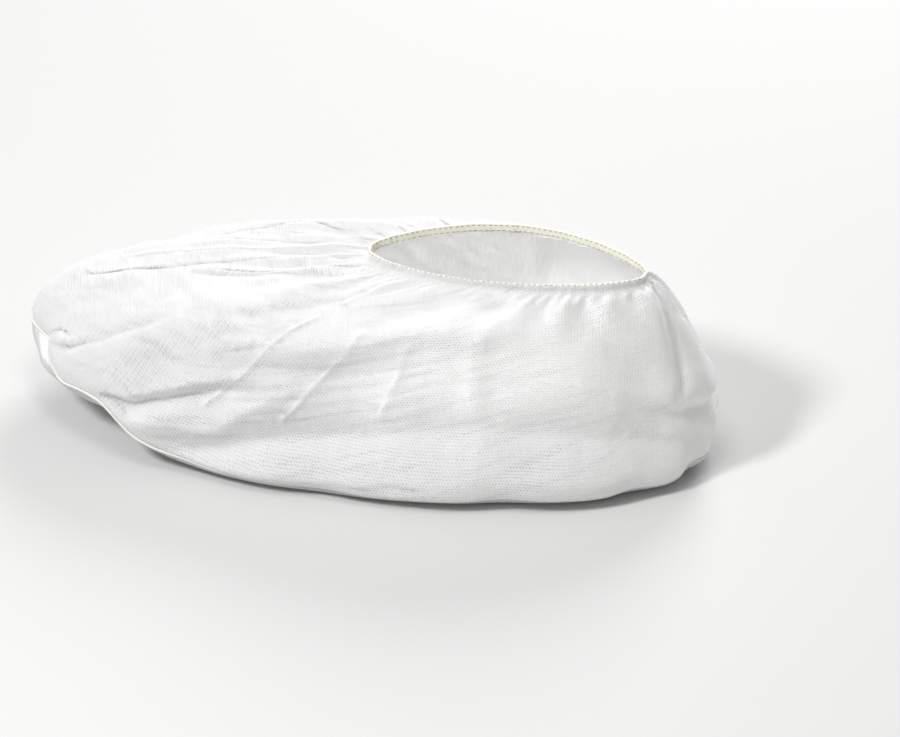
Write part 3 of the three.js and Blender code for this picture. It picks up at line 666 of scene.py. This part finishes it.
def maths(nodes, links, operation, first, second=None):
    """A Math node; an input is a number or another node's socket."""
    node = nodes.new("ShaderNodeMath")
    node.operation = operation
    for socket, value in zip(node.inputs, (first, second)):
        if value is None:
            continue
        if isinstance(value, (int, float)):
            socket.default_value = value
        else:
            links.new(value, socket)
    return node.outputs[0]


def new_group(name, inputs, outputs):
    group = bpy.data.node_groups.new(name, "ShaderNodeTree")
    for label, kind, value in inputs:
        socket = group.interface.new_socket(name=label, in_out="INPUT", socket_type=kind)
        if value is not None:
            socket.default_value = value
    for label, kind in outputs:
        group.interface.new_socket(name=label, in_out="OUTPUT", socket_type=kind)
    entry = group.nodes.new("NodeGroupInput")
    leave = group.nodes.new("NodeGroupOutput")
    return group, group.nodes, group.links, entry, leave


def make_weave_group():
    """Pressed cloth: ribs one way, rows the other way, small pits in staggered rows, and slanting streak
    lines for painted shade.

    Height is the sum of the two waves and of broken fibre noise, less the pits. The second output is the
    pits' mask, broken up by the same noise, and the material uses it only to paint shade into the pits. The
    third is the mask of long soft lines that run slanting along the cloth; the material uses it only to
    paint shade lines on the upright sides, and they are not in the height.
    """
    group, nodes, links, entry, leave = new_group(
        "pressed_weave",
        [
            ("Place", "NodeSocketVector", None),
            ("Rib pitch", "NodeSocketFloat", 0.0026),
            ("Row pitch", "NodeSocketFloat", 0.0021),
            ("Row share", "NodeSocketFloat", 0.5),
            ("Pit share", "NodeSocketFloat", 1.0),
            ("Breaks", "NodeSocketFloat", 0.4),
        ],
        [("Height", "NodeSocketFloat"), ("Pit shade", "NodeSocketFloat"), ("Streaks", "NodeSocketFloat")],
    )

    def wave(turns):
        swing = maths(nodes, links, "COSINE", maths(nodes, links, "MULTIPLY", turns, 2 * math.pi))
        return maths(nodes, links, "ADD", maths(nodes, links, "MULTIPLY", swing, 0.5), 0.5)

    split = nodes.new("ShaderNodeSeparateXYZ")
    links.new(entry.outputs["Place"], split.inputs[0])
    noise = nodes.new("ShaderNodeTexNoise")
    noise.inputs["Scale"].default_value = 260.0
    noise.inputs["Detail"].default_value = 3.0
    links.new(entry.outputs["Place"], noise.inputs["Vector"])
    wobble = maths(nodes, links, "MULTIPLY", noise.outputs["Fac"], 0.0018)

    def counted(axis, pitch):
        wobbled = maths(nodes, links, "ADD", split.outputs[axis], wobble)
        return maths(nodes, links, "DIVIDE", wobbled, entry.outputs[pitch])

    ribs = counted("X", "Rib pitch")
    rows = counted("Y", "Row pitch")
    staggered = maths(nodes, links, "ADD", ribs, maths(nodes, links, "MULTIPLY", rows, 0.5))
    pits = maths(nodes, links, "MULTIPLY", wave(staggered), wave(rows))
    pits = maths(nodes, links, "POWER", pits, 1.5)
    deep = maths(nodes, links, "MULTIPLY", pits, entry.outputs["Pit share"])
    level_rows = maths(nodes, links, "MULTIPLY", wave(rows), entry.outputs["Row share"])
    cloth = maths(nodes, links, "SUBTRACT", maths(nodes, links, "ADD", wave(ribs), level_rows), deep)
    broken = maths(nodes, links, "MULTIPLY", noise.outputs["Fac"], entry.outputs["Breaks"])
    links.new(maths(nodes, links, "ADD", cloth, broken), leave.inputs["Height"])
    links.new(maths(nodes, links, "MULTIPLY", pits, noise.outputs["Fac"]), leave.inputs["Pit shade"])

    # Painted shade: long slanting streak lines; the material darkens the cloth along them on the upright
    # sides, for the shade of fine ripples.
    slant = maths(nodes, links, "MULTIPLY", split.outputs["X"], 0.3)
    drawn = nodes.new("ShaderNodeCombineXYZ")
    links.new(maths(nodes, links, "MULTIPLY", split.outputs["X"], 0.09), drawn.inputs["X"])
    links.new(maths(nodes, links, "SUBTRACT", split.outputs["Y"], slant), drawn.inputs["Y"])
    streaks = nodes.new("ShaderNodeTexNoise")
    streaks.inputs["Scale"].default_value = 170.0
    streaks.inputs["Detail"].default_value = 2.0
    links.new(drawn.outputs[0], streaks.inputs["Vector"])
    dark = nodes.new("ShaderNodeMapRange")
    dark.inputs["From Min"].default_value = 0.48
    dark.inputs["From Max"].default_value = 0.72
    links.new(streaks.outputs["Fac"], dark.inputs["Value"])
    links.new(dark.outputs[0], leave.inputs["Streaks"])
    return group


def make_side_shade_group():
    """A mask of where painted shade goes: near 1 on the cloth's upright long outer sides, where light
    grazes, 0 on level cloth, ends and inside.

    It grows with how far the normal looks sideways and shrinks with how far it looks along the shoe. The
    normal and the level part of the place, multiplied and summed, tell the outside from the inside.
    """
    group, nodes, links, entry, leave = new_group(
        "painted_side_shade", [("Place", "NodeSocketVector", None)], [("Mask", "NodeSocketFloat")],
    )
    normal = nodes.new("ShaderNodeNewGeometry").outputs["True Normal"]
    split = nodes.new("ShaderNodeSeparateXYZ")
    links.new(normal, split.inputs[0])
    sideways = nodes.new("ShaderNodeMapRange")
    sideways.inputs["From Min"].default_value = 0.1
    links.new(maths(nodes, links, "ABSOLUTE", split.outputs["Y"]), sideways.inputs["Value"])
    endways = maths(nodes, links, "MULTIPLY", maths(nodes, links, "ABSOLUTE", split.outputs["X"]), -1.5)
    level = nodes.new("ShaderNodeVectorMath")
    level.operation = "MULTIPLY"
    level.inputs[1].default_value = (1, 1, 0)
    links.new(entry.outputs["Place"], level.inputs[0])
    facing = nodes.new("ShaderNodeVectorMath")
    facing.operation = "DOT_PRODUCT"
    links.new(level.outputs["Vector"], facing.inputs[0])
    links.new(normal, facing.inputs[1])
    outside = nodes.new("ShaderNodeMapRange")
    outside.inputs["From Max"].default_value = 0.01
    links.new(facing.outputs["Value"], outside.inputs["Value"])
    share = maths(nodes, links, "MULTIPLY", sideways.outputs[0], maths(nodes, links, "ADD", endways, 1.0))
    mask = maths(nodes, links, "MULTIPLY", share, outside.outputs[0])
    links.new(maths(nodes, links, "MAXIMUM", mask, 0.0), leave.inputs["Mask"])
    return group


def make_mottle_group():
    """A mask of soft uneven patches, from coarse noise with a little fine noise on it."""
    group, nodes, links, entry, leave = new_group(
        "mottle",
        [("Place", "NodeSocketVector", None), ("Scale", "NodeSocketFloat", 20.0)],
        [("Mask", "NodeSocketFloat")],
    )
    noise = nodes.new("ShaderNodeTexNoise")
    noise.inputs["Detail"].default_value = 5.0
    noise.inputs["Roughness"].default_value = 0.6
    links.new(entry.outputs["Place"], noise.inputs["Vector"])
    links.new(entry.outputs["Scale"], noise.inputs["Scale"])
    ramp = nodes.new("ShaderNodeMapRange")
    ramp.inputs["From Min"].default_value = 0.3
    ramp.inputs["From Max"].default_value = 0.7
    links.new(noise.outputs["Fac"], ramp.inputs["Value"])
    links.new(ramp.outputs[0], leave.inputs["Mask"])
    return group


WEAVE = make_weave_group()
MOTTLE = make_mottle_group()
SIDE_SHADE = make_side_shade_group()


def place_group(nodes, links, group, place, **values):
    node = nodes.new("ShaderNodeGroup")
    node.node_tree = group
    links.new(place, node.inputs["Place"])
    for label, value in values.items():
        node.inputs[label.replace("_", " ")].default_value = value
    return node


def colour_between(nodes, links, mask, dark, light):
    mix = nodes.new("ShaderNodeMix")
    mix.data_type = "RGBA"
    mix.inputs["A"].default_value = (*dark, 1)
    mix.inputs["B"].default_value = (*light, 1)
    links.new(mask, mix.inputs["Factor"])
    return mix.outputs["Result"]


def bump(nodes, links, height, distance, strength=1.0, below=None):
    node = nodes.new("ShaderNodeBump")
    node.inputs["Strength"].default_value = strength
    node.inputs["Distance"].default_value = distance
    links.new(height, node.inputs["Height"])
    if below is not None:
        links.new(below, node.inputs["Normal"])
    return node.outputs["Normal"]


def back_the_cloth(nodes, links, tone, backing):
    """The coated face's tone, and the backing's tone where the cloth looks up."""
    split = nodes.new("ShaderNodeSeparateXYZ")
    links.new(nodes.new("ShaderNodeNewGeometry").outputs["True Normal"], split.inputs[0])
    upward = nodes.new("ShaderNodeMapRange")
    upward.inputs["From Min"].default_value = 0.45
    upward.inputs["From Max"].default_value = 0.75
    links.new(split.outputs["Z"], upward.inputs["Value"])
    mix = nodes.new("ShaderNodeMix")
    mix.data_type = "RGBA"
    mix.inputs["B"].default_value = (*backing, 1)
    links.new(tone, mix.inputs["A"])
    links.new(upward.outputs[0], mix.inputs["Factor"])
    return mix.outputs["Result"]


def cloth_material(
    name, tones, roughness, weave, depths, mottle_scale,
    sheen=0.0, coat=0.0, through=0.0, sides=(1.0, 0.0, 0.0), backing=None,
):
    """A cloth finish: two close tones in patches, a darker third tone laid into the weave's pits as painted
    shade, and weave and fibre bumps.

    sides says how strongly the painted pit shade shows on all cloth, and how much more of it and of the
    painted streak shade goes on the upright long sides, where light grazes the cloth. backing is the tone
    of a coated cloth's plain face.
    """
    dark, light, pit_shade_tone = tones
    weave_depth, fibre_depth = depths
    material, nodes, links, shader = new_material(name)
    uv = nodes.new("ShaderNodeUVMap")
    uv.uv_map = "cloth"
    solid = nodes.new("ShaderNodeTexCoord").outputs["Object"]
    patches = place_group(nodes, links, MOTTLE, solid, Scale=mottle_scale).outputs["Mask"]
    pressed = place_group(nodes, links, WEAVE, uv.outputs["UV"], **weave)
    tone = colour_between(nodes, links, patches, dark, light)
    # Painted shade: the pit tone darkens the weave's pits, thinly on all cloth and much more, with the
    # streak lines, on the upright sides where light grazes; it stands in for the shading of the pressed
    # pattern.
    pit_shaded = nodes.new("ShaderNodeMix")
    pit_shaded.data_type = "RGBA"
    pit_shaded.inputs["B"].default_value = (*pit_shade_tone, 1)
    links.new(tone, pit_shaded.inputs["A"])
    pit_shade_everywhere, more_pit_shade, more_streak_shade = sides
    side_shade_mask = place_group(nodes, links, SIDE_SHADE, solid).outputs["Mask"]
    drawn = maths(nodes, links, "MULTIPLY", pressed.outputs["Streaks"], side_shade_mask)
    side_pit_shade = maths(nodes, links, "ADD", maths(nodes, links, "MULTIPLY", side_shade_mask, 0.6), drawn)
    share = maths(nodes, links, "ADD", maths(nodes, links, "MULTIPLY", side_pit_shade, more_pit_shade), pit_shade_everywhere)
    pits = maths(nodes, links, "MULTIPLY", pressed.outputs["Pit shade"], share)
    pit_and_streak_shade = maths(nodes, links, "ADD", pits, maths(nodes, links, "MULTIPLY", drawn, more_streak_shade))
    links.new(pit_and_streak_shade, pit_shaded.inputs["Factor"])
    finished = pit_shaded.outputs["Result"]
    if backing is not None:
        finished = back_the_cloth(nodes, links, finished, backing)
    links.new(finished, shader.inputs["Base Color"])
    fibres = nodes.new("ShaderNodeTexNoise")
    fibres.inputs["Scale"].default_value = 900.0
    fibres.inputs["Detail"].default_value = 4.0
    links.new(solid, fibres.inputs["Vector"])
    fibred = bump(nodes, links, fibres.outputs["Fac"], fibre_depth)
    woven = bump(nodes, links, pressed.outputs["Height"], weave_depth, below=fibred)
    links.new(woven, shader.inputs["Normal"])
    rough = nodes.new("ShaderNodeMapRange")
    rough.inputs["To Min"].default_value = roughness - 0.06
    rough.inputs["To Max"].default_value = roughness + 0.06
    links.new(patches, rough.inputs["Value"])
    links.new(rough.outputs[0], shader.inputs["Roughness"])
    shader.inputs["Sheen Weight"].default_value = sheen
    shader.inputs["Coat Weight"].default_value = coat
    shader.inputs["Subsurface Weight"].default_value = through
    shader.inputs["Subsurface Radius"].default_value = THROUGH_RADIUS
    shader.inputs["Subsurface Scale"].default_value = THROUGH_SCALE
    return material


# ---------------------------------------------------------------- finishes
# The nonwoven's pits and streaks are painted shade: faint on level cloth, strong on its upright sides.
NONWOVEN = cloth_material(
    "white_nonwoven", ((0.90, 0.90, 0.89), (0.93, 0.93, 0.925), (0.50, 0.51, 0.53)), 0.7,
    dict(Rib_pitch=0.0019, Row_pitch=0.0017, Row_share=0.5, Pit_share=1.0, Breaks=0.5),
    (0.00011, 0.00008), 24.0, sheen=0.15, through=0.9, sides=(0.07, 3.3, 0.46),
)
VINYL = cloth_material(
    "white_vinyl", ((0.50, 0.53, 0.525), (0.57, 0.59, 0.585), (0.44, 0.47, 0.47)), 0.42,
    dict(Rib_pitch=0.0016, Row_pitch=0.013, Row_share=0.35, Pit_share=0.2, Breaks=0.35),
    (0.00012, 0.00004), 14.0, coat=0.1, backing=(0.92, 0.92, 0.91),
)
EDGE = cloth_material(
    "cream_edge", ((0.74, 0.74, 0.69), (0.84, 0.84, 0.80), (0.60, 0.60, 0.54)), 0.75,
    dict(Rib_pitch=0.0011, Row_pitch=0.0016, Row_share=0.4, Pit_share=0.3, Breaks=0.6),
    (0.00015, 0.00012), 60.0, sheen=0.1,
)
ELASTIC = cloth_material(
    "cream_elastic", ((0.92, 0.91, 0.76), (0.96, 0.95, 0.82), (0.84, 0.83, 0.66)), 0.8,
    dict(Rib_pitch=0.0012, Row_pitch=0.0009, Row_share=0.9, Pit_share=0.6, Breaks=0.5),
    (0.00016, 0.0001), 80.0, sheen=0.15, through=0.1,
)
HEM_THREAD = cloth_material(
    "olive_thread", ((0.44, 0.42, 0.30), (0.56, 0.54, 0.41), (0.36, 0.34, 0.23)), 0.7,
    dict(Rib_pitch=0.0006, Row_pitch=0.0006, Row_share=0.3, Pit_share=0.2, Breaks=0.3),
    (0.00006, 0.00004), 200.0, sheen=0.1,
)
SOLE_THREAD = cloth_material(
    "grey_thread", ((0.38, 0.41, 0.40), (0.48, 0.51, 0.50), (0.30, 0.32, 0.32)), 0.7,
    dict(Rib_pitch=0.0006, Row_pitch=0.0006, Row_share=0.3, Pit_share=0.2, Breaks=0.3),
    (0.00006, 0.00004), 200.0, sheen=0.1,
)


# ---------------------------------------------------------------- the pieces
def cloth_places(points, lengths, angle):
    """Pattern places: along the shoe and on over the toe and round the heel, and up from the sewn edge."""
    x, z = points[..., 0], points[..., 2]
    toe = smooth(176, 198, -x)
    half_turn = np.linspace(0, np.pi, 721)
    edge = outline(half_turn) * np.array([1.0, 1.0, 0.0])
    run = np.concatenate([[0], np.cumsum(np.linalg.norm(np.diff(edge, axis=0), axis=-1))])
    folded = np.minimum(angle, 2 * np.pi - angle)
    walked = np.interp(folded, half_turn, run) - np.interp(np.pi / 2, half_turn, run)
    extra = (walked - outline(folded)[:, 0]) * smooth(1.5, 2.2, folded)
    wrap = extra[:, None] * (1 - 0.6 * lengths / lengths[:, -1:])
    return np.stack([x + 0.21 * points[..., 1] - 0.8 * toe * (52 - z) + wrap, lengths], -1)


def cloth_lengths(points):
    steps = np.linalg.norm(np.diff(points, axis=1), axis=-1)
    return np.concatenate([np.zeros((len(points), 1)), np.cumsum(steps, 1)], 1)


def rows_up(angle, start, rows):
    """Rows of the grid as up: even, drawn together at the bands' tucks and at the hem.

    The even count is the integral of a density, 1 plus a peak at each place, so rows are found by halving.
    """
    peaks = [(HEM_START + 0 * angle, 0.5 + 0 * angle), (0 * angle, 0.5 + 0 * angle)]
    for _, _, band in BANDS:
        columns, size = band_places(band, angle)
        peaks.append((columns[BAND_NAMES.index("tuck") - 1], 1.6 * size))

    def counted(up):
        gained = 0
        for at, share in peaks:
            gained = gained + share[:, None] * PEAK_WIDTH * np.tanh((up - at[:, None]) / PEAK_WIDTH)
        return up + gained

    low = start[:, None] + np.zeros((1, rows))
    high = np.ones_like(low)
    first, last = counted(low), counted(high)
    wanted = first + (last - first) * np.linspace(0, 1, rows)[None, :]
    for _ in range(HALVINGS):
        middle = (low + high) / 2
        below = counted(middle) < wanted
        low, high = np.where(below, middle, low), np.where(below, high, middle)
    found = (low + high) / 2
    found[:, 0], found[:, -1] = start, 1.0
    return found


def upper_grid(count, rows):
    """The upper's outer face from just above the seam bead to the rim, and its pattern places unfolded."""
    angle = around(count)
    edge, low, _, _ = upper_handles(angle)
    up = rows_up(angle, share_of(SEAM_RADIUS * BEAD_HOLD, low, edge), rows)
    grid = np.repeat(angle[:, None], rows, 1)
    plain = unfolded_upper(grid, up)
    return upper_surface(grid, up), cloth_places(plain, cloth_lengths(plain), angle)


def make_upper():
    count, rows, thin, inner_rows = 640, 122, 2, 61
    outer, uv = upper_grid(count, rows)
    normal = grid_normals(outer)
    inside = (outer - normal * UPPER_THICKNESS)[::thin]
    pick = np.round(np.linspace(0, rows - 1, inner_rows)).astype(int)
    inner, inner_uv = inside[:, pick], uv[::thin][:, pick]
    points = np.concatenate([outer.reshape(-1, 3), inner.reshape(-1, 3)])
    uvs = np.concatenate([uv.reshape(-1, 2), inner_uv.reshape(-1, 2)])
    first = count * rows
    faces = [quads(count, rows), quads(count // thin, inner_rows, first, flip=True)]
    rims = []
    for row, inner_row, flip in ((0, 0, True), (rows - 1, inner_rows - 1, False)):
        i = np.arange(count // thin)
        a = (i * thin) * rows + row
        m = (i * thin + 1) * rows + row
        b = ((i * thin + thin) % count) * rows + row
        c = first + ((i + 1) % (count // thin)) * inner_rows + inner_row
        d = first + i * inner_rows + inner_row
        tri = np.concatenate([np.stack([a, m, d], -1), np.stack([m, b, c], -1), np.stack([m, c, d], -1)])
        rims.append(tri[:, ::-1] if flip else tri)
    made = piece(
        "upper_cloth", points, np.concatenate(faces), NONWOVEN, ("upper",), uvs,
        np.concatenate(rims),
    )


def make_sole():
    """Rings from the centre over the flat middle, then the curve up to the sewn edge."""
    count, flat_rows, curve_rows = 480, 22, 44
    angle = around(count)
    last = share_at_sole_edge(angle, SEAM_RADIUS * BEAD_HOLD)
    s = np.linspace(0, 1, curve_rows)[None, :] * last[:, None]
    curve = sole_surface(np.repeat(angle[:, None], curve_rows, 1), s)
    shares = np.linspace(0, 1, flat_rows + 1)[1:-1]
    flat = curve[:, :1] * shares[None, :, None]
    under = np.concatenate([flat, curve], 1)
    rows = under.shape[1]
    normal = grid_normals(under)
    normal[:, :flat_rows] = (0, 0, -1)
    top = (under - normal * SOLE_THICKNESS)[::2, ::2]
    top = np.concatenate([top, (under - normal * SOLE_THICKNESS)[::2, -1:]], 1) if (rows - 1) % 2 else top
    top_rows = top.shape[1]
    points = np.concatenate([
        under.reshape(-1, 3), top.reshape(-1, 3), [[0, 0, 0]], [[0, 0, SOLE_THICKNESS]],
    ])
    first, centre = count * rows, count * rows + (count // 2) * top_rows
    faces = np.concatenate([quads(count, rows), quads(count // 2, top_rows, first, flip=True)])
    i = np.arange(count)
    fan_under = np.stack([np.full(count, centre), (i + 1) % count * rows, i * rows], -1)
    k = np.arange(count // 2)
    step = (k + 1) % (count // 2)
    fan_top = np.stack([np.full(count // 2, centre + 1), first + k * top_rows, first + step * top_rows], -1)
    a = (2 * k) * rows + rows - 1
    m = (2 * k + 1) * rows + rows - 1
    b = ((2 * k + 2) % count) * rows + rows - 1
    c = first + step * top_rows + top_rows - 1
    d = first + k * top_rows + top_rows - 1
    rim_faces = np.concatenate([np.stack([a, m, d], -1), np.stack([m, b, c], -1), np.stack([m, c, d], -1)])
    made = piece(
        "sole_cloth", points, faces, VINYL, ("sole",), points[:, :2],
        np.concatenate([fan_under, fan_top, rim_faces]),
    )


def make_edge_seam():
    """The sewn edge's bead: a ring carried along the seam, pinched at each stitch."""
    count, sides, pitch = 1200, 12, SOLE_STITCH[0]
    angle = around(count)
    line = seam(angle)
    steps = np.linalg.norm(np.roll(line, -1, 0) - line, axis=-1)
    length = np.concatenate([[0], np.cumsum(steps)[:-1]])
    stitches = round(steps.sum() / pitch)
    wave = np.cos(2 * np.pi * stitches * length / steps.sum())
    radius = SEAM_RADIUS * (1 - 0.1 * np.maximum(wave, 0) ** 2)
    outward = unit(line * np.array([1.0, 1.0, 0.0]))
    turn = np.linspace(0, 2 * np.pi, sides, endpoint=False)
    across = np.cos(turn)[None, :, None] * outward[:, None, :]
    rise = np.sin(turn)[None, :, None] * np.array([0, 0, 1.0])
    points = (line + 0.3 * outward)[:, None, :] + radius[:, None, None] * (across + rise)
    uv = np.stack(np.broadcast_arrays(length[:, None], turn[None, :] * SEAM_RADIUS), -1)
    piece("edge_bead", points, quads(count, sides, closed=True), EDGE, ("edge_seam",), uv)


def make_elastic():
    """The elastic band inside the mouth's edge: the upper's last rows moved inward, lapped at the front."""
    count, rows = 640, 9
    angle = around(count)
    band = ELASTIC_WIDTH / HEM_HEIGHT * (1 - HEM_START)
    up = np.linspace(1 - band, 1, rows)[None, :] + np.zeros((count, 1))
    face = upper_surface(np.repeat(angle[:, None], rows, 1), up)
    normal = grid_normals(face)
    near = face - normal * (UPPER_THICKNESS + GAP)
    lap = 1 - smooth(8, 9, np.abs(turn_of(np.degrees(angle))))
    depth = UPPER_THICKNESS + GAP + ELASTIC_THICKNESS * (1 + lap)
    far = face - normal * depth[:, None, None]
    points = np.concatenate([near, far[:, ::-1]], 1)
    lengths = np.linalg.norm(np.roll(near[:, 0], -1, 0) - near[:, 0], axis=-1)
    along = np.concatenate([[0], np.cumsum(lengths)[:-1]])
    across = np.concatenate([np.linspace(0, ELASTIC_WIDTH, rows), np.linspace(ELASTIC_WIDTH, 0, rows)])
    uv = np.stack(np.broadcast_arrays(along[:, None], across[None, :]), -1)
    faces = quads(count, 2 * rows, closed=True)
    return piece("mouth_band", points, faces, ELASTIC, ("mouth_elastic",), uv)


def stitches(name, line, outward, pitch, length, thick, material, slot, seed):
    """Thread lying on a line at even steps: each stitch a short tube, thinner and sunk at both ends.

    Each tube's middle line is an arc over the surface; its rings are circles across that arc.
    """
    rng = np.random.default_rng(seed)
    steps = np.linalg.norm(np.roll(line, -1, 0) - line, axis=-1)
    run = np.concatenate([[0], np.cumsum(steps)])
    count = int(round(run[-1] / pitch))
    rings, sides = 5, 6
    part = np.linspace(-0.5, 0.5, rings)
    at = (np.arange(count)[:, None] + part[None, :] * length / pitch) * run[-1] / count
    at = (at + rng.normal(0, 0.06 * pitch, (count, 1))) % run[-1]
    closed_line = np.concatenate([line, line[:1]])
    closed_out = np.concatenate([outward, outward[:1]])
    centre = np.stack([np.interp(at, run, closed_line[:, k]) for k in range(3)], -1)
    out = unit(np.stack([np.interp(at, run, closed_out[:, k]) for k in range(3)], -1))
    along = unit(np.gradient(centre, axis=1))
    side = unit(np.cross(along, out))
    bulge = 1 - (2 * part) ** 2
    centre = centre + out * (thick * (0.9 * bulge - 0.45))[None, :, None]
    radius = thick * 0.5 * (0.45 + 0.55 * bulge ** 0.5)
    turn = np.linspace(0, 2 * np.pi, sides, endpoint=False)
    ring = out[:, :, None, :] * np.cos(turn)[None, None, :, None]
    ring = ring + side[:, :, None, :] * np.sin(turn)[None, None, :, None]
    points = centre[:, :, None, :] + ring * radius[None, :, None, None]
    k = np.arange(rings - 1)[:, None] * sides
    j = np.arange(sides)[None, :]
    after = (j + 1) % sides
    wall = np.stack([k + j, k + after, k + sides + after, k + sides + j], -1).reshape(-1, 4)
    first = (np.arange(count) * rings * sides)[:, None, None]
    faces = (wall[None] + first).reshape(-1, 4)
    fan = np.array([[0, j + 1, j] for j in range(1, sides - 1)])
    fan = np.concatenate([fan, fan[:, ::-1] + (rings - 1) * sides])
    caps = (fan[None] + first).reshape(-1, 3)
    lay = np.stack(np.broadcast_arrays(at[:, :, None], turn[None, None, :] * thick), -1)
    return piece(name, points, faces, material, (), lay, caps)


def make_hem_stitches():
    """Two rows of stitches on the band inside the mouth and one along the rim outside."""
    angle = around(720)
    drop = (1 - HEM_START) / HEM_HEIGHT
    inside = UPPER_THICKNESS + GAP + ELASTIC_THICKNESS
    made = []
    sewn = (("rim_stitches", 0.5, 0.0), ("hem_top_row", 0.9, inside), ("hem_low_row", 4.1, inside))
    for name, below, depth in sewn:
        rows = np.array([-0.4, 0.0, 0.4]) - below
        up = 1 + drop * rows
        face = upper_surface(np.repeat(angle[:, None], 3, 1), np.repeat(up[None, :], len(angle), 0))
        normal = grid_normals(face)[:, 1]
        line = face[:, 1] - normal * depth
        out = -normal if depth else normal
        made.append(stitches(name, line, out, *HEM_STITCH, HEM_THREAD, "seam_thread", SEED + len(made)))
    return made


def make_sole_stitches():
    """The sewing line's stitches in the sole, just inside its edge."""
    angle = around(1200)
    s = np.array([0.0, 0.02, 0.04])
    at = share_at_sole_edge(angle, SOLE_STITCH_INSET)
    face = sole_surface(np.repeat(angle[:, None], 3, 1), at[:, None] + s[None, :])
    normal = grid_normals(face)[:, 1]
    line = face[:, 1]
    return stitches("sole_edge_stitches", line, normal, *SOLE_STITCH, SOLE_THREAD, "seam_thread", SEED + 9)


make_upper()
make_sole()
make_edge_seam()
make_elastic()
make_hem_stitches()
make_sole_stitches()


# ---------------------------------------------------------------- floor, light and camera, in metres
FLOOR_HALF = 6.0
FLOOR_TONE = (0.62, 0.62, 0.615)
ROOM_LIGHT = 0.41

# Each light's name, place, aim, size across and power in watts.
LIGHTS = [
    ("key_softbox", (-0.95, -1.15, 1.70), (0, 0, 0.05), 0.4, 34.5),
    ("overhead_softbox", (0.05, -0.40, 1.25), (0.08, 0, 0.1), 0.4, 3.2),
    ("back_softbox", (0.25, 1.50, 1.05), (0, 0, 0.05), 1.0, 24),
]


def make_floor():
    mesh = bpy.data.meshes.new("floor")
    half = FLOOR_HALF
    corners = [(-half, -half, 0), (half, -half, 0), (half, half, 0), (-half, half, 0)]
    mesh.from_pydata(corners, [], [(0, 1, 2, 3)])
    floor = bpy.data.objects.new("floor", mesh)
    bpy.context.scene.collection.objects.link(floor)
    material, nodes, links, shader = new_material("pale_floor")
    shader.inputs["Base Color"].default_value = (*FLOOR_TONE, 1)
    shader.inputs["Roughness"].default_value = 0.9
    mesh.materials.append(material)


def make_light(name, place, aim, size, power):
    light = bpy.data.lights.new(name, "AREA")
    light.shape = "DISK"
    light.size = size
    light.energy = power
    made = bpy.data.objects.new(name, light)
    bpy.context.scene.collection.objects.link(made)
    made.location = place
    made.rotation_mode = "QUATERNION"
    made.rotation_quaternion = (Vector(aim) - Vector(place)).to_track_quat("-Z", "Y")


def make_stage():
    make_floor()
    for light in LIGHTS:
        make_light(*light)
    world = bpy.data.worlds.new("soft_room")
    world.use_nodes = True
    world.node_tree.nodes["Background"].inputs["Color"].default_value = (1, 1, 1, 1)
    world.node_tree.nodes["Background"].inputs["Strength"].default_value = ROOM_LIGHT
    bpy.context.scene.world = world
    bpy.context.scene.view_settings.view_transform = "Standard"
    bpy.context.scene.cycles.diffuse_bounces = 14
    bpy.context.scene.cycles.max_bounces = 24


CAMERA_AZIMUTH = math.radians(12)
CAMERA_ELEVATION = math.radians(33)
CAMERA_DISTANCE = 6.0
VIEW_WIDTH = 0.5143
VIEW_RIGHT = 0.0440
VIEW_UP = 0.0317


def make_camera():
    """The camera looks along the given angles at a point set off from the origin along its own axes."""
    a, e = CAMERA_AZIMUTH, CAMERA_ELEVATION
    back = Vector((math.sin(a) * math.cos(e), -math.cos(a) * math.cos(e), math.sin(e)))
    right = Vector((math.cos(a), math.sin(a), 0))
    up = back.cross(right)
    aim = right * VIEW_RIGHT + up * VIEW_UP
    camera = bpy.data.cameras.new("camera")
    camera.sensor_width = 36.0
    camera.lens = camera.sensor_width * CAMERA_DISTANCE / VIEW_WIDTH
    camera.clip_end = 50.0
    made = bpy.data.objects.new("camera", camera)
    bpy.context.scene.collection.objects.link(made)
    made.location = aim + back * CAMERA_DISTANCE
    made.rotation_mode = "QUATERNION"
    made.rotation_quaternion = (-back).to_track_quat("-Z", "Y")
    bpy.context.scene.camera = made


make_stage()
make_camera()
